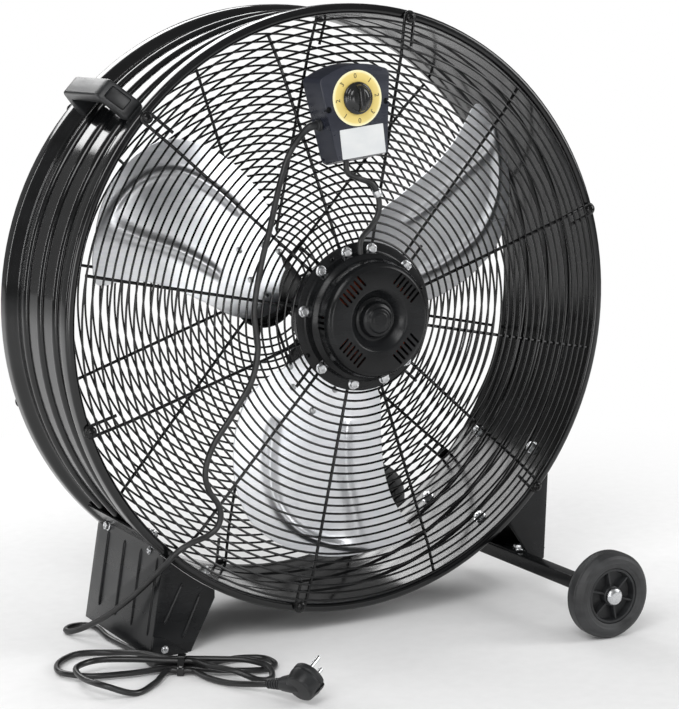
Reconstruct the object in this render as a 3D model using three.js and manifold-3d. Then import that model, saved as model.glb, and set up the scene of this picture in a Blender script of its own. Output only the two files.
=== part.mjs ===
// Drum fan on two wheels and a sheet foot: barrel, two wire grilles, rotor, motor, switch box and cord.
// Millimetres. X runs from the foot to the wheels, Y from the inlet side to the outlet side, Z is up.
// The origin is on the floor, under the middle of the drum.

import * as THREE from 'three';
import Module from 'manifold-3d';
import { mergeVertices } from 'three/addons/utils/BufferGeometryUtils.js';

const wasm = await Module();
wasm.setup();

// ---- Driving sizes --------------------------------------------------------------------------

const GAP = 0.3; // left between two pieces that touch

// Drum
const RIM_RADIUS = 345;
const DRUM_DEPTH = 202;
const AXIS_HEIGHT = 366;
const HEM_RISE = 10; // how far the hems stand above the barrel
const SHEET = 1.5;
const HEM = 11; // radial width of the rolled edge
const HEM_LENGTH = 20; // along the axis
const FLARE_LENGTH = 10;
const BEAD_HEIGHT = 4;
const BEAD_WIDTH = 14;
const BEAD_SPACING = 44;
const DRUM_STEPS = 32;

// Grilles
const RING_WIRE = 2.6;
const SPOKE_WIRE = 3.6;
const RING_PITCH = 9.3;
const INLET_RINGS = 27;
const OUTLET_RINGS = 30;
const RIM_TO_RING = 5; // clear space between the hem and the outermost ring
const SPOKES = 12;
const SPOKE_PHASE = 19; // degrees
const DISH = 13; // how far the middle of a grille stands proud of its edge
const KINK_INSET = 34; // from the outermost ring to the bend in each spoke
const KINK_SHARE = 0.5; // part of the dish reached at the bend
const HAIRPIN_SPREAD = 12;
const HAIRPIN_LEG = 32;
const RIM_SCREW_HEAD = 6.1;
const OUTLET_DISC_RADIUS = 44;

// Motor
const PLATE_RADIUS = 84;
const PLATE_THICK = 2.5;
const BELL_RADIUS = 72;
const BELL_FACE_RADIUS = 65;
const BELL_STEP = 14; // depth of the wide base of the bell
const BELL_DEPTH = 36;
const BELL_WALL = 2;
const BELL_DISH_RADIUS = 36;
const BOSS_RADIUS = 19;
const CAN_RADIUS = 60;
const CAN_DEPTH = 66;
const SHAFT_RADIUS = 7;
const BEARING_RADIUS = 16;
const BEARING_WIDTH = 10;
const SLOT_LENGTH = 15;
const SLOT_WIDTH = 2.6;
const SLOT_PITCH = 6.2;
const SLOTS_IN_GROUP = 6;

// Rotor
const BLADE_TIP_RADIUS = 302;
const BLADE_ROOT_RADIUS = 60;
const BLADE_SHEET = 1.8;
const BLADE_PHASE = 51; // degrees, outer corner of the first blade on the inlet side
const BLADE_COUNT = 3;
const ROTOR_Y = -22; // where the blade face crosses its middle line
const PITCH_AT_ROOT = 29; // degrees
const PITCH_AT_TIP = 15;
const CAMBER = 5;
const HALF_CHORD = 95;
const RIB_HEIGHT = 4;
const ARM_REACH = 136;
const ARM_SHEET = 4;
const HUB_RADIUS = 24;

// Switch box
const BOX_ANGLE = 97; // degrees round the drum axis
const BOX_CENTRE_RADIUS = 227;
const BOX_TOP_WIDTH = 88;
const BOX_BOTTOM_WIDTH = 60;
const BOX_DEPTH = 36;
const BOX_WALL = 2.5;
const BOX_CORNER = 8;
const BOX_ARCH = 10; // how far the curved top rises above its corners
const BOX_DRAFT = 8; // how much lower the bottom edge is at the back
const BOX_BASE = 4;
const DIAL_RADIUS = 30;
const DIAL_MARGIN = 6.3; // from the dial to the top of the box
const DIAL_OVER_LABEL = 1.2;
const KNOB_RADIUS = 17.5;
const KNOB_HEIGHT = 15;
const LABEL_WIDTH = 54;
const LABEL_HEIGHT = 32;
const LABEL_SHIFT = 1.5;
const LABEL_MARGIN = 0.5;

// Handle
const HANDLE_ANGLE = 137.4;
const HANDLE_LENGTH = 136;
const HANDLE_WIDTH = 24;
const HANDLE_HEIGHT = 45; // top of the grip above the barrel
const HANDLE_THICK = 14;
const HANDLE_Y = -6;

// Foot, wheel bracket and wheels
const PLATE_HALF = 94; // half the length of foot and bracket along Y
const FOOT_SHEET = 2;
const FOOT_TOP_X = -231;
const FOOT_BOTTOM_X = -252;
const FOOT_INNER_X = -172;
const FOOT_EDGE_DROP = 9; // where the slanted end edge turns up, below the rim
const FOOT_TOE_X = -202;
const FOOT_RIB_SPACING = 44;
const FOOT_RIB_END = 24; // from the ribs to the floor and to the barrel
const SOLE_WIDTH = 26;
const SADDLE_BOLT_Y = 60;
const WHEEL_RADIUS = 50;
const WHEEL_WIDTH = 28;
const WHEEL_X = 236;
const WHEEL_Y = 270;
const TUBE_SIZE = 16;
const TUBE_WALL = 1.5;
const BRACKET_TOP_X = 276;
const BRACKET_INNER_X = 218;
const AXLE_RADIUS = 5;

// Cord
const CORD = 6.6;
const CORD_SIDES = 8;
const HANK_SIDES = 6;
const LOOP_STEPS = 24;
const TIE_X = -243;
const TIE_Y = -158;

// ---- Colours --------------------------------------------------------------------------------

const BLACK = 0x17181a;
const GREY_BLACK = 0x2b2d30;
const BLUE_GREY = 0x3a3d47;
const ZINC = 0xb9bcc0;
const ALUMINIUM = 0xaeb0b3;
const COPPER = 0x9a4a2c;
const RUBBER = 0x242424;
const YELLOW = 0xe8d98a;
const WHITE = 0xf2f2ef;

// ---- Sizes that follow from the driving ones ------------------------------------------------

const HALF_DEPTH = DRUM_DEPTH / 2;
const BARREL_RADIUS = RIM_RADIUS - HEM_RISE;
const BARREL_BORE = BARREL_RADIUS - SHEET;
const HEM_BORE = RIM_RADIUS - HEM;
const OUTER_RING = HEM_BORE - RIM_TO_RING;
const SCREW_CIRCLE = RIM_RADIUS - HAIRPIN_SPREAD / 2 - SPOKE_WIRE / 2;
const GRILLE_EDGE_Y = HALF_DEPTH + SPOKE_WIRE / 2 + GAP; // spoke middle, over the hem
const GRILLE_FACE_Y = GRILLE_EDGE_Y + DISH;
const RING_OVER_SPOKE = (SPOKE_WIRE + RING_WIRE) / 2 + GAP + 0.45;
const PLATE_BACK_Y = -(GRILLE_FACE_Y + RING_OVER_SPOKE + RING_WIRE / 2 + GAP);
const PLATE_FRONT_Y = PLATE_BACK_Y - PLATE_THICK;
const BELL_FRONT_Y = PLATE_FRONT_Y - GAP - BELL_DEPTH;
const BOX_BACK_Y = PLATE_BACK_Y;
const SADDLE_RADIUS = BARREL_RADIUS + BEAD_HEIGHT + GAP;
const FACE_STACK = LABEL_MARGIN + LABEL_HEIGHT + DIAL_OVER_LABEL + 2 * DIAL_RADIUS + DIAL_MARGIN;
const BOX_HEIGHT = FACE_STACK - BOX_ARCH; // from its bottom edge to its top corners
const DIAL_RISE = BOX_HEIGHT / 2 + BOX_ARCH - DIAL_MARGIN - DIAL_RADIUS; // above the box centre

// ---- Helpers --------------------------------------------------------------------------------

const rad = THREE.MathUtils.degToRad;
const vec = (x, y, z) => new THREE.Vector3(x, y, z);
const parts = new THREE.Group();
parts.name = 'drum_fan';

// A point at a radius and angle round the drum axis.
function around(radius, degrees, y) {
  return vec(radius * Math.cos(rad(degrees)), y, AXIS_HEIGHT + radius * Math.sin(rad(degrees)));
}

// Height of the barrel's underside, at a given radius, over a point on the floor.
function underDrum(x, radius) {
  return AXIS_HEIGHT - Math.sqrt(radius * radius - x * x);
}

function signedVolume(geometry) {
  const corners = geometry.index ? geometry.toNonIndexed() : geometry;
  const p = corners.attributes.position;
  let sum = 0;
  for (let i = 0; i < p.count; i += 3) {
    const a = new THREE.Vector3().fromBufferAttribute(p, i);
    const b = new THREE.Vector3().fromBufferAttribute(p, i + 1);
    const c = new THREE.Vector3().fromBufferAttribute(p, i + 2);
    sum += a.dot(b.cross(c));
  }
  return sum / 6;
}

// Welds a geometry, drops its empty triangles and turns it to face out.
function weld(geometry) {
  const bare = geometry.clone();
  bare.deleteAttribute('normal');
  bare.deleteAttribute('uv');
  const merged = mergeVertices(bare, 1e-4);
  const index = merged.index.array;
  const flip = signedVolume(merged) < 0;
  const kept = [];
  for (let i = 0; i < index.length; i += 3) {
    const [a, b, c] = [index[i], index[i + 1], index[i + 2]];
    if (a === b || b === c || c === a) continue;
    kept.push(a, flip ? c : b, flip ? b : c);
  }
  merged.setIndex(kept);
  return merged;
}

function solid(geometry) {
  const welded = weld(geometry);
  const mesh = new wasm.Mesh({
    numProp: 3,
    vertProperties: new Float32Array(welded.attributes.position.array),
    triVerts: new Uint32Array(welded.index.array),
  });
  return new wasm.Manifold(mesh);
}

function surface(manifold) {
  const mesh = manifold.getMesh();
  const geometry = new THREE.BufferGeometry();
  geometry.setAttribute('position', new THREE.BufferAttribute(mesh.vertProperties, 3));
  geometry.setIndex(new THREE.BufferAttribute(mesh.triVerts, 1));
  return geometry;
}

function join(first, ...others) {
  return others.reduce((sum, other) => sum.add(other), first);
}

function cut(first, ...others) {
  return others.reduce((rest, other) => rest.subtract(other), first);
}

function add(name, shape, color) {
  const geometry = shape instanceof THREE.BufferGeometry ? weld(shape) : surface(shape);
  geometry.computeVertexNormals();
  const mesh = new THREE.Mesh(geometry, new THREE.MeshStandardMaterial({ color }));
  mesh.name = name;
  parts.add(mesh);
}

// A solid of revolution round the drum axis. The profile is a list of [radius, y] and closes itself.
function turned(profile, steps) {
  const points = profile.map(([r, y]) => new THREE.Vector2(r, y));
  const onAxis = profile[0][0] === 0 && profile.at(-1)[0] === 0;
  if (!onAxis) points.push(points[0].clone());
  return new THREE.LatheGeometry(points, steps);
}

function onDrumAxis(geometry) {
  return geometry.translate(0, 0, AXIS_HEIGHT);
}

// A block between two corners.
function block(low, high) {
  const size = vec(...high).sub(vec(...low));
  const middle = vec(...low).addScaledVector(size, 0.5);
  return new THREE.BoxGeometry(size.x, size.y, size.z).translate(middle.x, middle.y, middle.z);
}

// A cylinder or cone between two points.
function rod(from, to, radius, sides, endRadius = radius) {
  const along = to.clone().sub(from);
  const geometry = new THREE.CylinderGeometry(endRadius, radius, along.length(), sides);
  const turn = new THREE.Quaternion().setFromUnitVectors(vec(0, 1, 0), along.clone().normalize());
  const middle = from.clone().addScaledVector(along, 0.5);
  return geometry.applyQuaternion(turn).translate(middle.x, middle.y, middle.z);
}

// A flat outline in X and Z, drawn out along Y.
function drawnAlongY(outline, y0, y1) {
  const shape = new THREE.Shape(outline.map(([x, z]) => new THREE.Vector2(x, z)));
  const geometry = new THREE.ExtrudeGeometry(shape, { depth: y1 - y0, bevelEnabled: false });
  return geometry.rotateX(Math.PI / 2).translate(0, y1, 0);
}

// A path with one step for each given point: short steps in bends, long ones on straights.
class StepPath extends THREE.Curve {
  constructor(points) {
    super();
    this.points = points;
  }

  getPoint(t) {
    const at = t * (this.points.length - 1);
    const i = Math.min(Math.floor(at), this.points.length - 2);
    return new THREE.Vector3().lerpVectors(this.points[i], this.points[i + 1], at - i);
  }

  getTangent(t) {
    const i = Math.round(t * (this.points.length - 1));
    const here = this.points[i];
    const before = this.points[Math.max(i - 1, 0)];
    const after = this.points[Math.min(i + 1, this.points.length - 1)];
    const into = here.clone().sub(before).normalize();
    return after.clone().sub(here).normalize().add(into).normalize();
  }

  getUtoTmapping(u) {
    return u;
  }
}

function roundShape(radius, sides) {
  const points = [];
  for (let i = 0; i < sides; i++) {
    const turn = (2 * Math.PI * i) / sides;
    points.push(new THREE.Vector2(radius * Math.cos(turn), radius * Math.sin(turn)));
  }
  return new THREE.Shape(points);
}

function squareWire(points, side) {
  const half = side / 2;
  const corners = [[-half, -half], [half, -half], [half, half], [-half, half]];
  return new THREE.ExtrudeGeometry(new THREE.Shape(corners.map(([x, y]) => new THREE.Vector2(x, y))), {
    steps: points.length - 1,
    extrudePath: new StepPath(points),
  });
}

function wire(points, diameter, sides) {
  return new THREE.ExtrudeGeometry(roundShape(diameter / 2, sides), {
    steps: points.length - 1,
    extrudePath: new StepPath(points),
  });
}

function spline(points, steps) {
  return new THREE.CatmullRomCurve3(points, false, 'centripetal').getSpacedPoints(steps);
}

// ---- Drum -----------------------------------------------------------------------------------

function drumProfile() {
  const flareEnd = HALF_DEPTH - HEM_LENGTH;
  const flareStart = flareEnd - FLARE_LENGTH;
  const round = 3;
  const hem = (side) => [
    [BARREL_RADIUS, side * flareStart],
    [RIM_RADIUS, side * flareEnd],
    [RIM_RADIUS, side * (HALF_DEPTH - round)],
    [RIM_RADIUS - round, side * HALF_DEPTH],
    [HEM_BORE, side * HALF_DEPTH],
    [HEM_BORE, side * (HALF_DEPTH - HEM)],
    [BARREL_BORE, side * (flareStart + SHEET)],
  ];
  const beads = [-1, 0, 1].flatMap((place) => [
    [BARREL_RADIUS, place * BEAD_SPACING - BEAD_WIDTH / 2],
    [BARREL_RADIUS + BEAD_HEIGHT, place * BEAD_SPACING],
    [BARREL_RADIUS, place * BEAD_SPACING + BEAD_WIDTH / 2],
  ]);
  return [...hem(-1).reverse(), ...beads, ...hem(1)];
}

const FOOT_BOLT_ANGLES = [-134.5, -120.5];
const BRACKET_BOLT_ANGLES = [-53.3, -34.6];
const HANDLE_BOLT_INSET = 9;
const STUD_RADIUS = 3;

function handleBoltYs() {
  const reach = HANDLE_LENGTH / 2 - HANDLE_BOLT_INSET;
  return [HANDLE_Y - reach, HANDLE_Y + reach];
}

function radialRod(inner, outer, degrees, y, radius, sides) {
  return rod(around(inner, degrees, y), around(outer, degrees, y), radius, sides);
}

function drum() {
  const holes = [];
  for (const angle of [...FOOT_BOLT_ANGLES, ...BRACKET_BOLT_ANGLES]) {
    for (const y of [-SADDLE_BOLT_Y, SADDLE_BOLT_Y]) holes.push([angle, y]);
  }
  for (const y of handleBoltYs()) holes.push([HANDLE_ANGLE, y]);
  const drills = holes.map(([angle, y]) =>
    solid(radialRod(BARREL_BORE - 5, RIM_RADIUS + 5, angle, y, STUD_RADIUS + GAP, 6)),
  );
  return cut(solid(onDrumAxis(turned(drumProfile(), DRUM_STEPS))), ...drills);
}

// The drum's outside as a solid, a gap larger: what stands on the drum is cut to it.
function drumEnvelope() {
  const step = HALF_DEPTH - HEM_LENGTH - FLARE_LENGTH - GAP;
  const far = HALF_DEPTH + 10;
  const profile = [
    [0, -far],
    [RIM_RADIUS + GAP, -far],
    [RIM_RADIUS + GAP, -step - FLARE_LENGTH],
    [SADDLE_RADIUS, -step],
    [SADDLE_RADIUS, step],
    [RIM_RADIUS + GAP, step + FLARE_LENGTH],
    [RIM_RADIUS + GAP, far],
    [0, far],
  ];
  return solid(onDrumAxis(turned(profile, DRUM_STEPS)));
}

// A stud through the barrel with its nut inside.
function studWithNut(angle, y, outer) {
  const seat = BARREL_BORE * Math.cos(Math.PI / DRUM_STEPS) - GAP;
  const nut = solid(radialRod(seat - 5.5, seat - 0.3, angle, y, 7, 6));
  return join(solid(radialRod(seat - 3, outer, angle, y, STUD_RADIUS, 6)), nut);
}

// ---- Grilles --------------------------------------------------------------------------------

// Distance of the spokes from the middle plane of the drum, by radius.
function dishedY(radius) {
  const kinkRadius = OUTER_RING - KINK_INSET;
  if (radius >= kinkRadius) {
    const share = (OUTER_RING - radius) / KINK_INSET;
    return GRILLE_EDGE_Y + DISH * KINK_SHARE * Math.max(share, 0);
  }
  const share = (kinkRadius - radius) / (kinkRadius - PLATE_RADIUS);
  return GRILLE_EDGE_Y + DISH * (KINK_SHARE + (1 - KINK_SHARE) * Math.min(share, 1));
}

function ringSteps(radius) {
  return radius > OUTER_RING / 2 ? 16 : 12;
}

// A ring is a polygon, so it stands clear of the spokes at the middle of its sides too.
function grilleRing(radius, side) {
  const steps = ringSteps(radius);
  const y = dishedY(radius * Math.cos(Math.PI / steps)) + RING_OVER_SPOKE;
  const ring = new THREE.TorusGeometry(radius, RING_WIRE / 2, 3, steps);
  return onDrumAxis(ring.rotateX(Math.PI / 2).rotateY(-rad(SPOKE_PHASE)).translate(0, side * y, 0));
}

// One spoke. Every second one is bent back round a rim screw, and every third one round a hub bolt.
function spokePoints(index, side, hubRadius) {
  const angle = SPOKE_PHASE + (360 / SPOKES) * index;
  const out = around(1, angle, 0).sub(around(0, 0, 0));
  const clockwise = around(1, angle - 90, 0).sub(around(0, 0, 0));
  const at = (radius, offset) => {
    const point = around(0, 0, side * dishedY(radius));
    return point.addScaledVector(out, radius).addScaledVector(clockwise, offset);
  };
  const bend = HAIRPIN_SPREAD / 2;
  const points = [];
  if (index % 3 === 1 && hubRadius > PLATE_RADIUS / 2) {
    points.push(at(hubRadius + HAIRPIN_LEG, HAIRPIN_SPREAD));
    for (const turn of [0, 60, 120, 180]) {
      const sweep = rad(turn);
      points.push(at(hubRadius - bend * Math.sin(sweep), bend + bend * Math.cos(sweep)));
    }
  } else {
    points.push(at(hubRadius, 0));
  }
  points.push(at(OUTER_RING - KINK_INSET, 0));
  if (index % 2 === 0) {
    for (const turn of [0, 60, 120, 180]) {
      const sweep = rad(turn);
      points.push(at(SCREW_CIRCLE + bend * Math.sin(sweep), bend - bend * Math.cos(sweep)));
    }
    points.push(at(SCREW_CIRCLE - HAIRPIN_LEG, HAIRPIN_SPREAD));
  } else {
    points.push(at(OUTER_RING, 0));
  }
  return points;
}

const TIE_SPOKE = 3; // this spoke is welded to the rings, the others to the hub ring

function grilleRings(side, count) {
  const rings = [];
  for (let i = 0; i < count; i++) {
    rings.push(solid(grilleRing(OUTER_RING - i * RING_PITCH, side)));
  }
  const innermost = OUTER_RING - (count - 1) * RING_PITCH;
  const angle = SPOKE_PHASE + (360 / SPOKES) * TIE_SPOKE;
  const lift = RING_OVER_SPOKE + 0.2;
  const radii = [innermost - 2, OUTER_RING - KINK_INSET, OUTER_RING + 1];
  const bar = radii.map((radius) => around(radius, angle, side * (dishedY(radius) + lift)));
  return join(solid(squareWire(bar, RING_WIRE + 0.4)), ...rings);
}

function grilleSpokes(side, hubRadius) {
  const hubWire = SPOKE_WIRE;
  const hub = new THREE.TorusGeometry(hubRadius, hubWire / 2, 4, 24).rotateX(Math.PI / 2);
  const hubRing = solid(onDrumAxis(hub.translate(0, side * dishedY(hubRadius), 0)));
  const spokes = [];
  for (let i = 0; i < SPOKES; i++) {
    if (i !== TIE_SPOKE) spokes.push(solid(wire(spokePoints(i, side, hubRadius), SPOKE_WIRE, 4)));
  }
  return join(hubRing, ...spokes);
}

// The dished plate over the middle of the outlet grille.
function outletDisc() {
  const y = dishedY(OUTLET_DISC_RADIUS) + SPOKE_WIRE / 2 + GAP;
  const profile = [
    [0, y + 2],
    [OUTLET_DISC_RADIUS - 8, y + 2],
    [OUTLET_DISC_RADIUS, y],
    [OUTLET_DISC_RADIUS, y + 1.5],
    [OUTLET_DISC_RADIUS - 8, y + 4],
    [0, y + 4],
  ];
  return onDrumAxis(turned(profile, 24));
}

// A pan-head screw with its washer, standing on the hem in the bend of a spoke.
function rimScrew(index, side) {
  const angle = SPOKE_PHASE + (360 / SPOKES) * index;
  const shift = THREE.MathUtils.radToDeg(HAIRPIN_SPREAD / 2 / SCREW_CIRCLE);
  const base = HALF_DEPTH + GAP;
  const top = base + SPOKE_WIRE + GAP;
  const profile = [
    [0, base],
    [2.6, base],
    [2.6, top],
    [RIM_SCREW_HEAD, top],
    [RIM_SCREW_HEAD, top + 2],
    [0, top + 4.2],
  ];
  const spot = around(SCREW_CIRCLE, angle - shift, 0);
  const mirrored = profile.map(([r, y]) => [r, side * y]);
  return turned(mirrored, 8).translate(spot.x, 0, spot.z);
}

// ---- Motor ----------------------------------------------------------------------------------

const EYE_BOLT_ANGLES = [45, 135, 225, 315];
const MOTOR_BOLT_ANGLES = [82, 112, 172, 262, 291];
const PLATE_BOLT_CIRCLE = 76.5;

function motorPlate() {
  const bore = CAN_RADIUS - 6;
  const ring = turned(
    [
      [bore, PLATE_BACK_Y],
      [PLATE_RADIUS, PLATE_BACK_Y],
      [PLATE_RADIUS, PLATE_FRONT_Y],
      [bore, PLATE_FRONT_Y],
    ],
    28,
  );
  const bolts = [...EYE_BOLT_ANGLES, ...MOTOR_BOLT_ANGLES].map((angle) => {
    const from = around(PLATE_BOLT_CIRCLE, angle, PLATE_FRONT_Y + 0.5);
    const to = around(PLATE_BOLT_CIRCLE, angle, PLATE_FRONT_Y - 5);
    return solid(rod(from, to, 4, 6));
  });
  return join(solid(onDrumAxis(ring)), ...bolts);
}

function bellProfile() {
  const base = PLATE_FRONT_Y - GAP;
  const front = BELL_FRONT_Y;
  const shoulder = base - BELL_STEP;
  const w = BELL_WALL;
  return [
    [0, front - 2.5],
    [BOSS_RADIUS - 6, front - 2],
    [BOSS_RADIUS - 1.5, front + 1.5],
    [BOSS_RADIUS, front + 11],
    [BOSS_RADIUS + 4, front + 12],
    [BELL_DISH_RADIUS - 5, front + 4],
    [BELL_DISH_RADIUS, front],
    [BELL_FACE_RADIUS - 6, front],
    [BELL_FACE_RADIUS - 1, front + 4],
    [BELL_FACE_RADIUS + 1, shoulder - 3],
    [BELL_RADIUS - 3, shoulder],
    [BELL_RADIUS, shoulder + 3],
    [BELL_RADIUS, base],
    [BELL_RADIUS - w, base],
    [BELL_RADIUS - w, shoulder + 3],
    [BELL_FACE_RADIUS - w, shoulder],
    [BELL_FACE_RADIUS - 3 - w, front + 5],
    [BELL_DISH_RADIUS, front + w],
    [BOSS_RADIUS + 4, front + 14],
    [BEARING_RADIUS + GAP, front + 14],
    [BEARING_RADIUS + GAP, front + 1.5],
    [0, front + 1.5],
  ];
}

function bell() {
  const middle = (BELL_DISH_RADIUS + BELL_FACE_RADIUS - 6) / 2;
  const slots = [];
  for (const angle of EYE_BOLT_ANGLES) {
    const row = (SLOTS_IN_GROUP - 1) / 2;
    for (let i = -row; i <= row; i++) {
      const size = [SLOT_LENGTH, 3 * BELL_WALL, SLOT_WIDTH];
      const slot = new THREE.BoxGeometry(...size).translate(middle, BELL_FRONT_Y + 1, i * SLOT_PITCH);
      slots.push(solid(onDrumAxis(slot.rotateY(-rad(angle)))));
    }
  }
  for (const angle of [0, 180]) {
    for (const i of [-1, 0, 1]) {
      const size = [12, SLOT_LENGTH - 4, SLOT_WIDTH];
      const y = (BELL_FRONT_Y + PLATE_FRONT_Y - BELL_STEP) / 2 + 1;
      const slot = new THREE.BoxGeometry(...size).translate(BELL_FACE_RADIUS, y, i * SLOT_PITCH);
      slots.push(solid(onDrumAxis(slot.rotateY(-rad(angle)))));
    }
  }
  return cut(solid(onDrumAxis(turned(bellProfile(), 24))), ...slots);
}

const CAN_BACK_Y = PLATE_BACK_Y + GAP;
const CAN_FRONT_Y = CAN_BACK_Y + CAN_DEPTH;

function canProfile() {
  const w = BELL_WALL;
  return [
    [CAN_RADIUS, CAN_BACK_Y],
    [CAN_RADIUS, CAN_FRONT_Y - 8],
    [CAN_RADIUS - 8, CAN_FRONT_Y],
    [BEARING_RADIUS + 4, CAN_FRONT_Y],
    [BEARING_RADIUS + 4, CAN_FRONT_Y + BEARING_WIDTH],
    [BEARING_RADIUS + GAP, CAN_FRONT_Y + BEARING_WIDTH],
    [BEARING_RADIUS + GAP, CAN_FRONT_Y - w],
    [CAN_RADIUS - 9, CAN_FRONT_Y - w],
    [CAN_RADIUS - w, CAN_FRONT_Y - 9],
    [CAN_RADIUS - w, CAN_BACK_Y],
  ];
}

function bearing(y) {
  return turned(
    [
      [SHAFT_RADIUS + GAP, y],
      [BEARING_RADIUS, y],
      [BEARING_RADIUS, y + BEARING_WIDTH],
      [SHAFT_RADIUS + GAP, y + BEARING_WIDTH],
    ],
    12,
  );
}

// The laminated core with a coil end standing out of each face.
function statorProfile() {
  const core = CAN_RADIUS - BELL_WALL - GAP;
  const coil = CAN_RADIUS - 9;
  const bore = 33;
  return [
    [bore, BELL_FRONT_Y + 16],
    [coil, BELL_FRONT_Y + 12],
    [coil, CAN_BACK_Y + 8],
    [core, CAN_BACK_Y + 8],
    [core, CAN_FRONT_Y - 20],
    [coil - 3, CAN_FRONT_Y - 20],
    [coil - 3, CAN_FRONT_Y - 8],
    [bore, CAN_FRONT_Y - 8],
  ];
}

const REAR_BEARING_Y = BELL_FRONT_Y + 2;
const HUB_BACK_Y = CAN_FRONT_Y + BEARING_WIDTH + 3;
const SHAFT_END_Y = 18;

function shaftProfile() {
  const core = 32;
  return [
    [0, REAR_BEARING_Y],
    [SHAFT_RADIUS, REAR_BEARING_Y],
    [SHAFT_RADIUS, CAN_BACK_Y + 10],
    [core, CAN_BACK_Y + 10],
    [core, CAN_FRONT_Y - 22],
    [SHAFT_RADIUS, CAN_FRONT_Y - 22],
    [SHAFT_RADIUS, SHAFT_END_Y],
    [0, SHAFT_END_Y + 1],
  ];
}

// ---- Rotor ----------------------------------------------------------------------------------

// Edges of a blade, from root to tip: [share of its length, inlet-side edge, outlet-side edge],
// the edges in degrees from the blade's phase.
const BLADE_OUTLINE = [
  [0, 8, -38],
  [0.13, 12, -52],
  [0.27, 9, -57],
  [0.41, 3, -55],
  [0.58, -1, -50],
  [0.74, -2, -44],
  [0.87, -1, -37],
  [0.95, 0, -28],
  [0.99, -1, -20],
  [1, -5, -15],
];
const BLADE_SPAN = BLADE_TIP_RADIUS - BLADE_ROOT_RADIUS;

function bladeEdges(radius) {
  const along = (radius - BLADE_ROOT_RADIUS) / BLADE_SPAN;
  const last = BLADE_OUTLINE.length - 2;
  const found = BLADE_OUTLINE.findIndex(([share]) => share > along);
  const i = found < 0 ? last : Math.max(found - 1, 0);
  const [from, near0, far0] = BLADE_OUTLINE[i];
  const [to, near1, far1] = BLADE_OUTLINE[i + 1];
  const share = THREE.MathUtils.clamp((along - from) / (to - from), 0, 1);
  return [near0 + (near1 - near0) * share, far0 + (far1 - far0) * share];
}

const BLADE_MIDDLE = -25; // degrees from the phase to the middle line of the blade

// Axial position of the blade's face at a radius and an angle from the blade's phase.
function bladeFaceY(radius, degrees) {
  const share = THREE.MathUtils.clamp(radius / BLADE_TIP_RADIUS, 0, 1);
  const pitch = PITCH_AT_ROOT + (PITCH_AT_TIP - PITCH_AT_ROOT) * share;
  const arc = radius * rad(degrees - BLADE_MIDDLE);
  const bow = CAMBER * (1 - (arc / HALF_CHORD) ** 2) * share;
  return ROTOR_Y - arc * Math.tan(rad(pitch)) + bow;
}

// Height of the pressed U-shaped rib, from the place across and along the blade (0 to 1 each).
function ribHeight(across, along) {
  const side = Math.abs(across - 0.5) - 0.25;
  const top = along - 0.67;
  const away = top < 0 ? Math.abs(side) : Math.abs(Math.hypot(across - 0.5, 0.9 * top) - 0.25);
  const open = THREE.MathUtils.smoothstep(along, 0.32, 0.46);
  return RIB_HEIGHT * open * Math.exp(-((away / 0.07) ** 2));
}

// A skin of even thickness along Y over a grid of face points.
function skin(columns, rows, thickness, facePoint) {
  const positions = [];
  const index = [];
  const id = (layer, i, j) => (layer * (rows + 1) + j) * (columns + 1) + i;
  for (const layer of [0, 1]) {
    for (let j = 0; j <= rows; j++) {
      for (let i = 0; i <= columns; i++) {
        const point = facePoint(i / columns, j / rows);
        positions.push(point.x, point.y + layer * thickness, point.z);
      }
    }
  }
  const quad = (a, b, c, d) => index.push(a, b, c, a, c, d);
  for (let j = 0; j < rows; j++) {
    for (let i = 0; i < columns; i++) {
      quad(id(0, i, j), id(0, i + 1, j), id(0, i + 1, j + 1), id(0, i, j + 1));
      quad(id(1, i, j + 1), id(1, i + 1, j + 1), id(1, i + 1, j), id(1, i, j));
    }
  }
  for (let i = 0; i < columns; i++) {
    quad(id(1, i, 0), id(1, i + 1, 0), id(0, i + 1, 0), id(0, i, 0));
    quad(id(0, i, rows), id(0, i + 1, rows), id(1, i + 1, rows), id(1, i, rows));
  }
  for (let j = 0; j < rows; j++) {
    quad(id(0, 0, j), id(0, 0, j + 1), id(1, 0, j + 1), id(1, 0, j));
    quad(id(1, columns, j), id(1, columns, j + 1), id(0, columns, j + 1), id(0, columns, j));
  }
  const geometry = new THREE.BufferGeometry();
  geometry.setAttribute('position', new THREE.Float32BufferAttribute(positions, 3));
  geometry.setIndex(index);
  return geometry;
}

function blade(number) {
  const phase = BLADE_PHASE + (360 / BLADE_COUNT) * number;
  return skin(12, 9, BLADE_SHEET, (across, along) => {
    const radius = BLADE_ROOT_RADIUS + BLADE_SPAN * Math.sin((along * Math.PI) / 2) ** 1.15;
    const [near, far] = bladeEdges(radius);
    const degrees = near + (far - near) * across;
    const rib = ribHeight(across, (radius - BLADE_ROOT_RADIUS) / BLADE_SPAN);
    return around(radius, phase + degrees, bladeFaceY(radius, degrees) - rib);
  });
}

// The hub with three arms. Each arm lies on the inlet side of its blade and follows the blade's face.
function spider() {
  const boss = turned(
    [
      [SHAFT_RADIUS + GAP, HUB_BACK_Y],
      [HUB_RADIUS, HUB_BACK_Y],
      [HUB_RADIUS, SHAFT_END_Y - 8],
      [SHAFT_RADIUS + GAP, SHAFT_END_Y - 8],
    ],
    20,
  );
  const arms = [];
  for (let number = 0; number < BLADE_COUNT; number++) {
    const phase = BLADE_PHASE + (360 / BLADE_COUNT) * number;
    const lower = ARM_SHEET + 3 * GAP;
    const arm = skin(3, 5, ARM_SHEET, (across, along) => {
      const radius = THREE.MathUtils.lerp(HUB_RADIUS - 6, ARM_REACH, along);
      const half = THREE.MathUtils.lerp(30, 14, along);
      const degrees = BLADE_MIDDLE + half * (1 - 2 * across);
      return around(radius, phase + degrees, bladeFaceY(radius, degrees) - lower);
    });
    arms.push(solid(arm));
  }
  return join(solid(onDrumAxis(boss)), ...arms);
}

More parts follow.
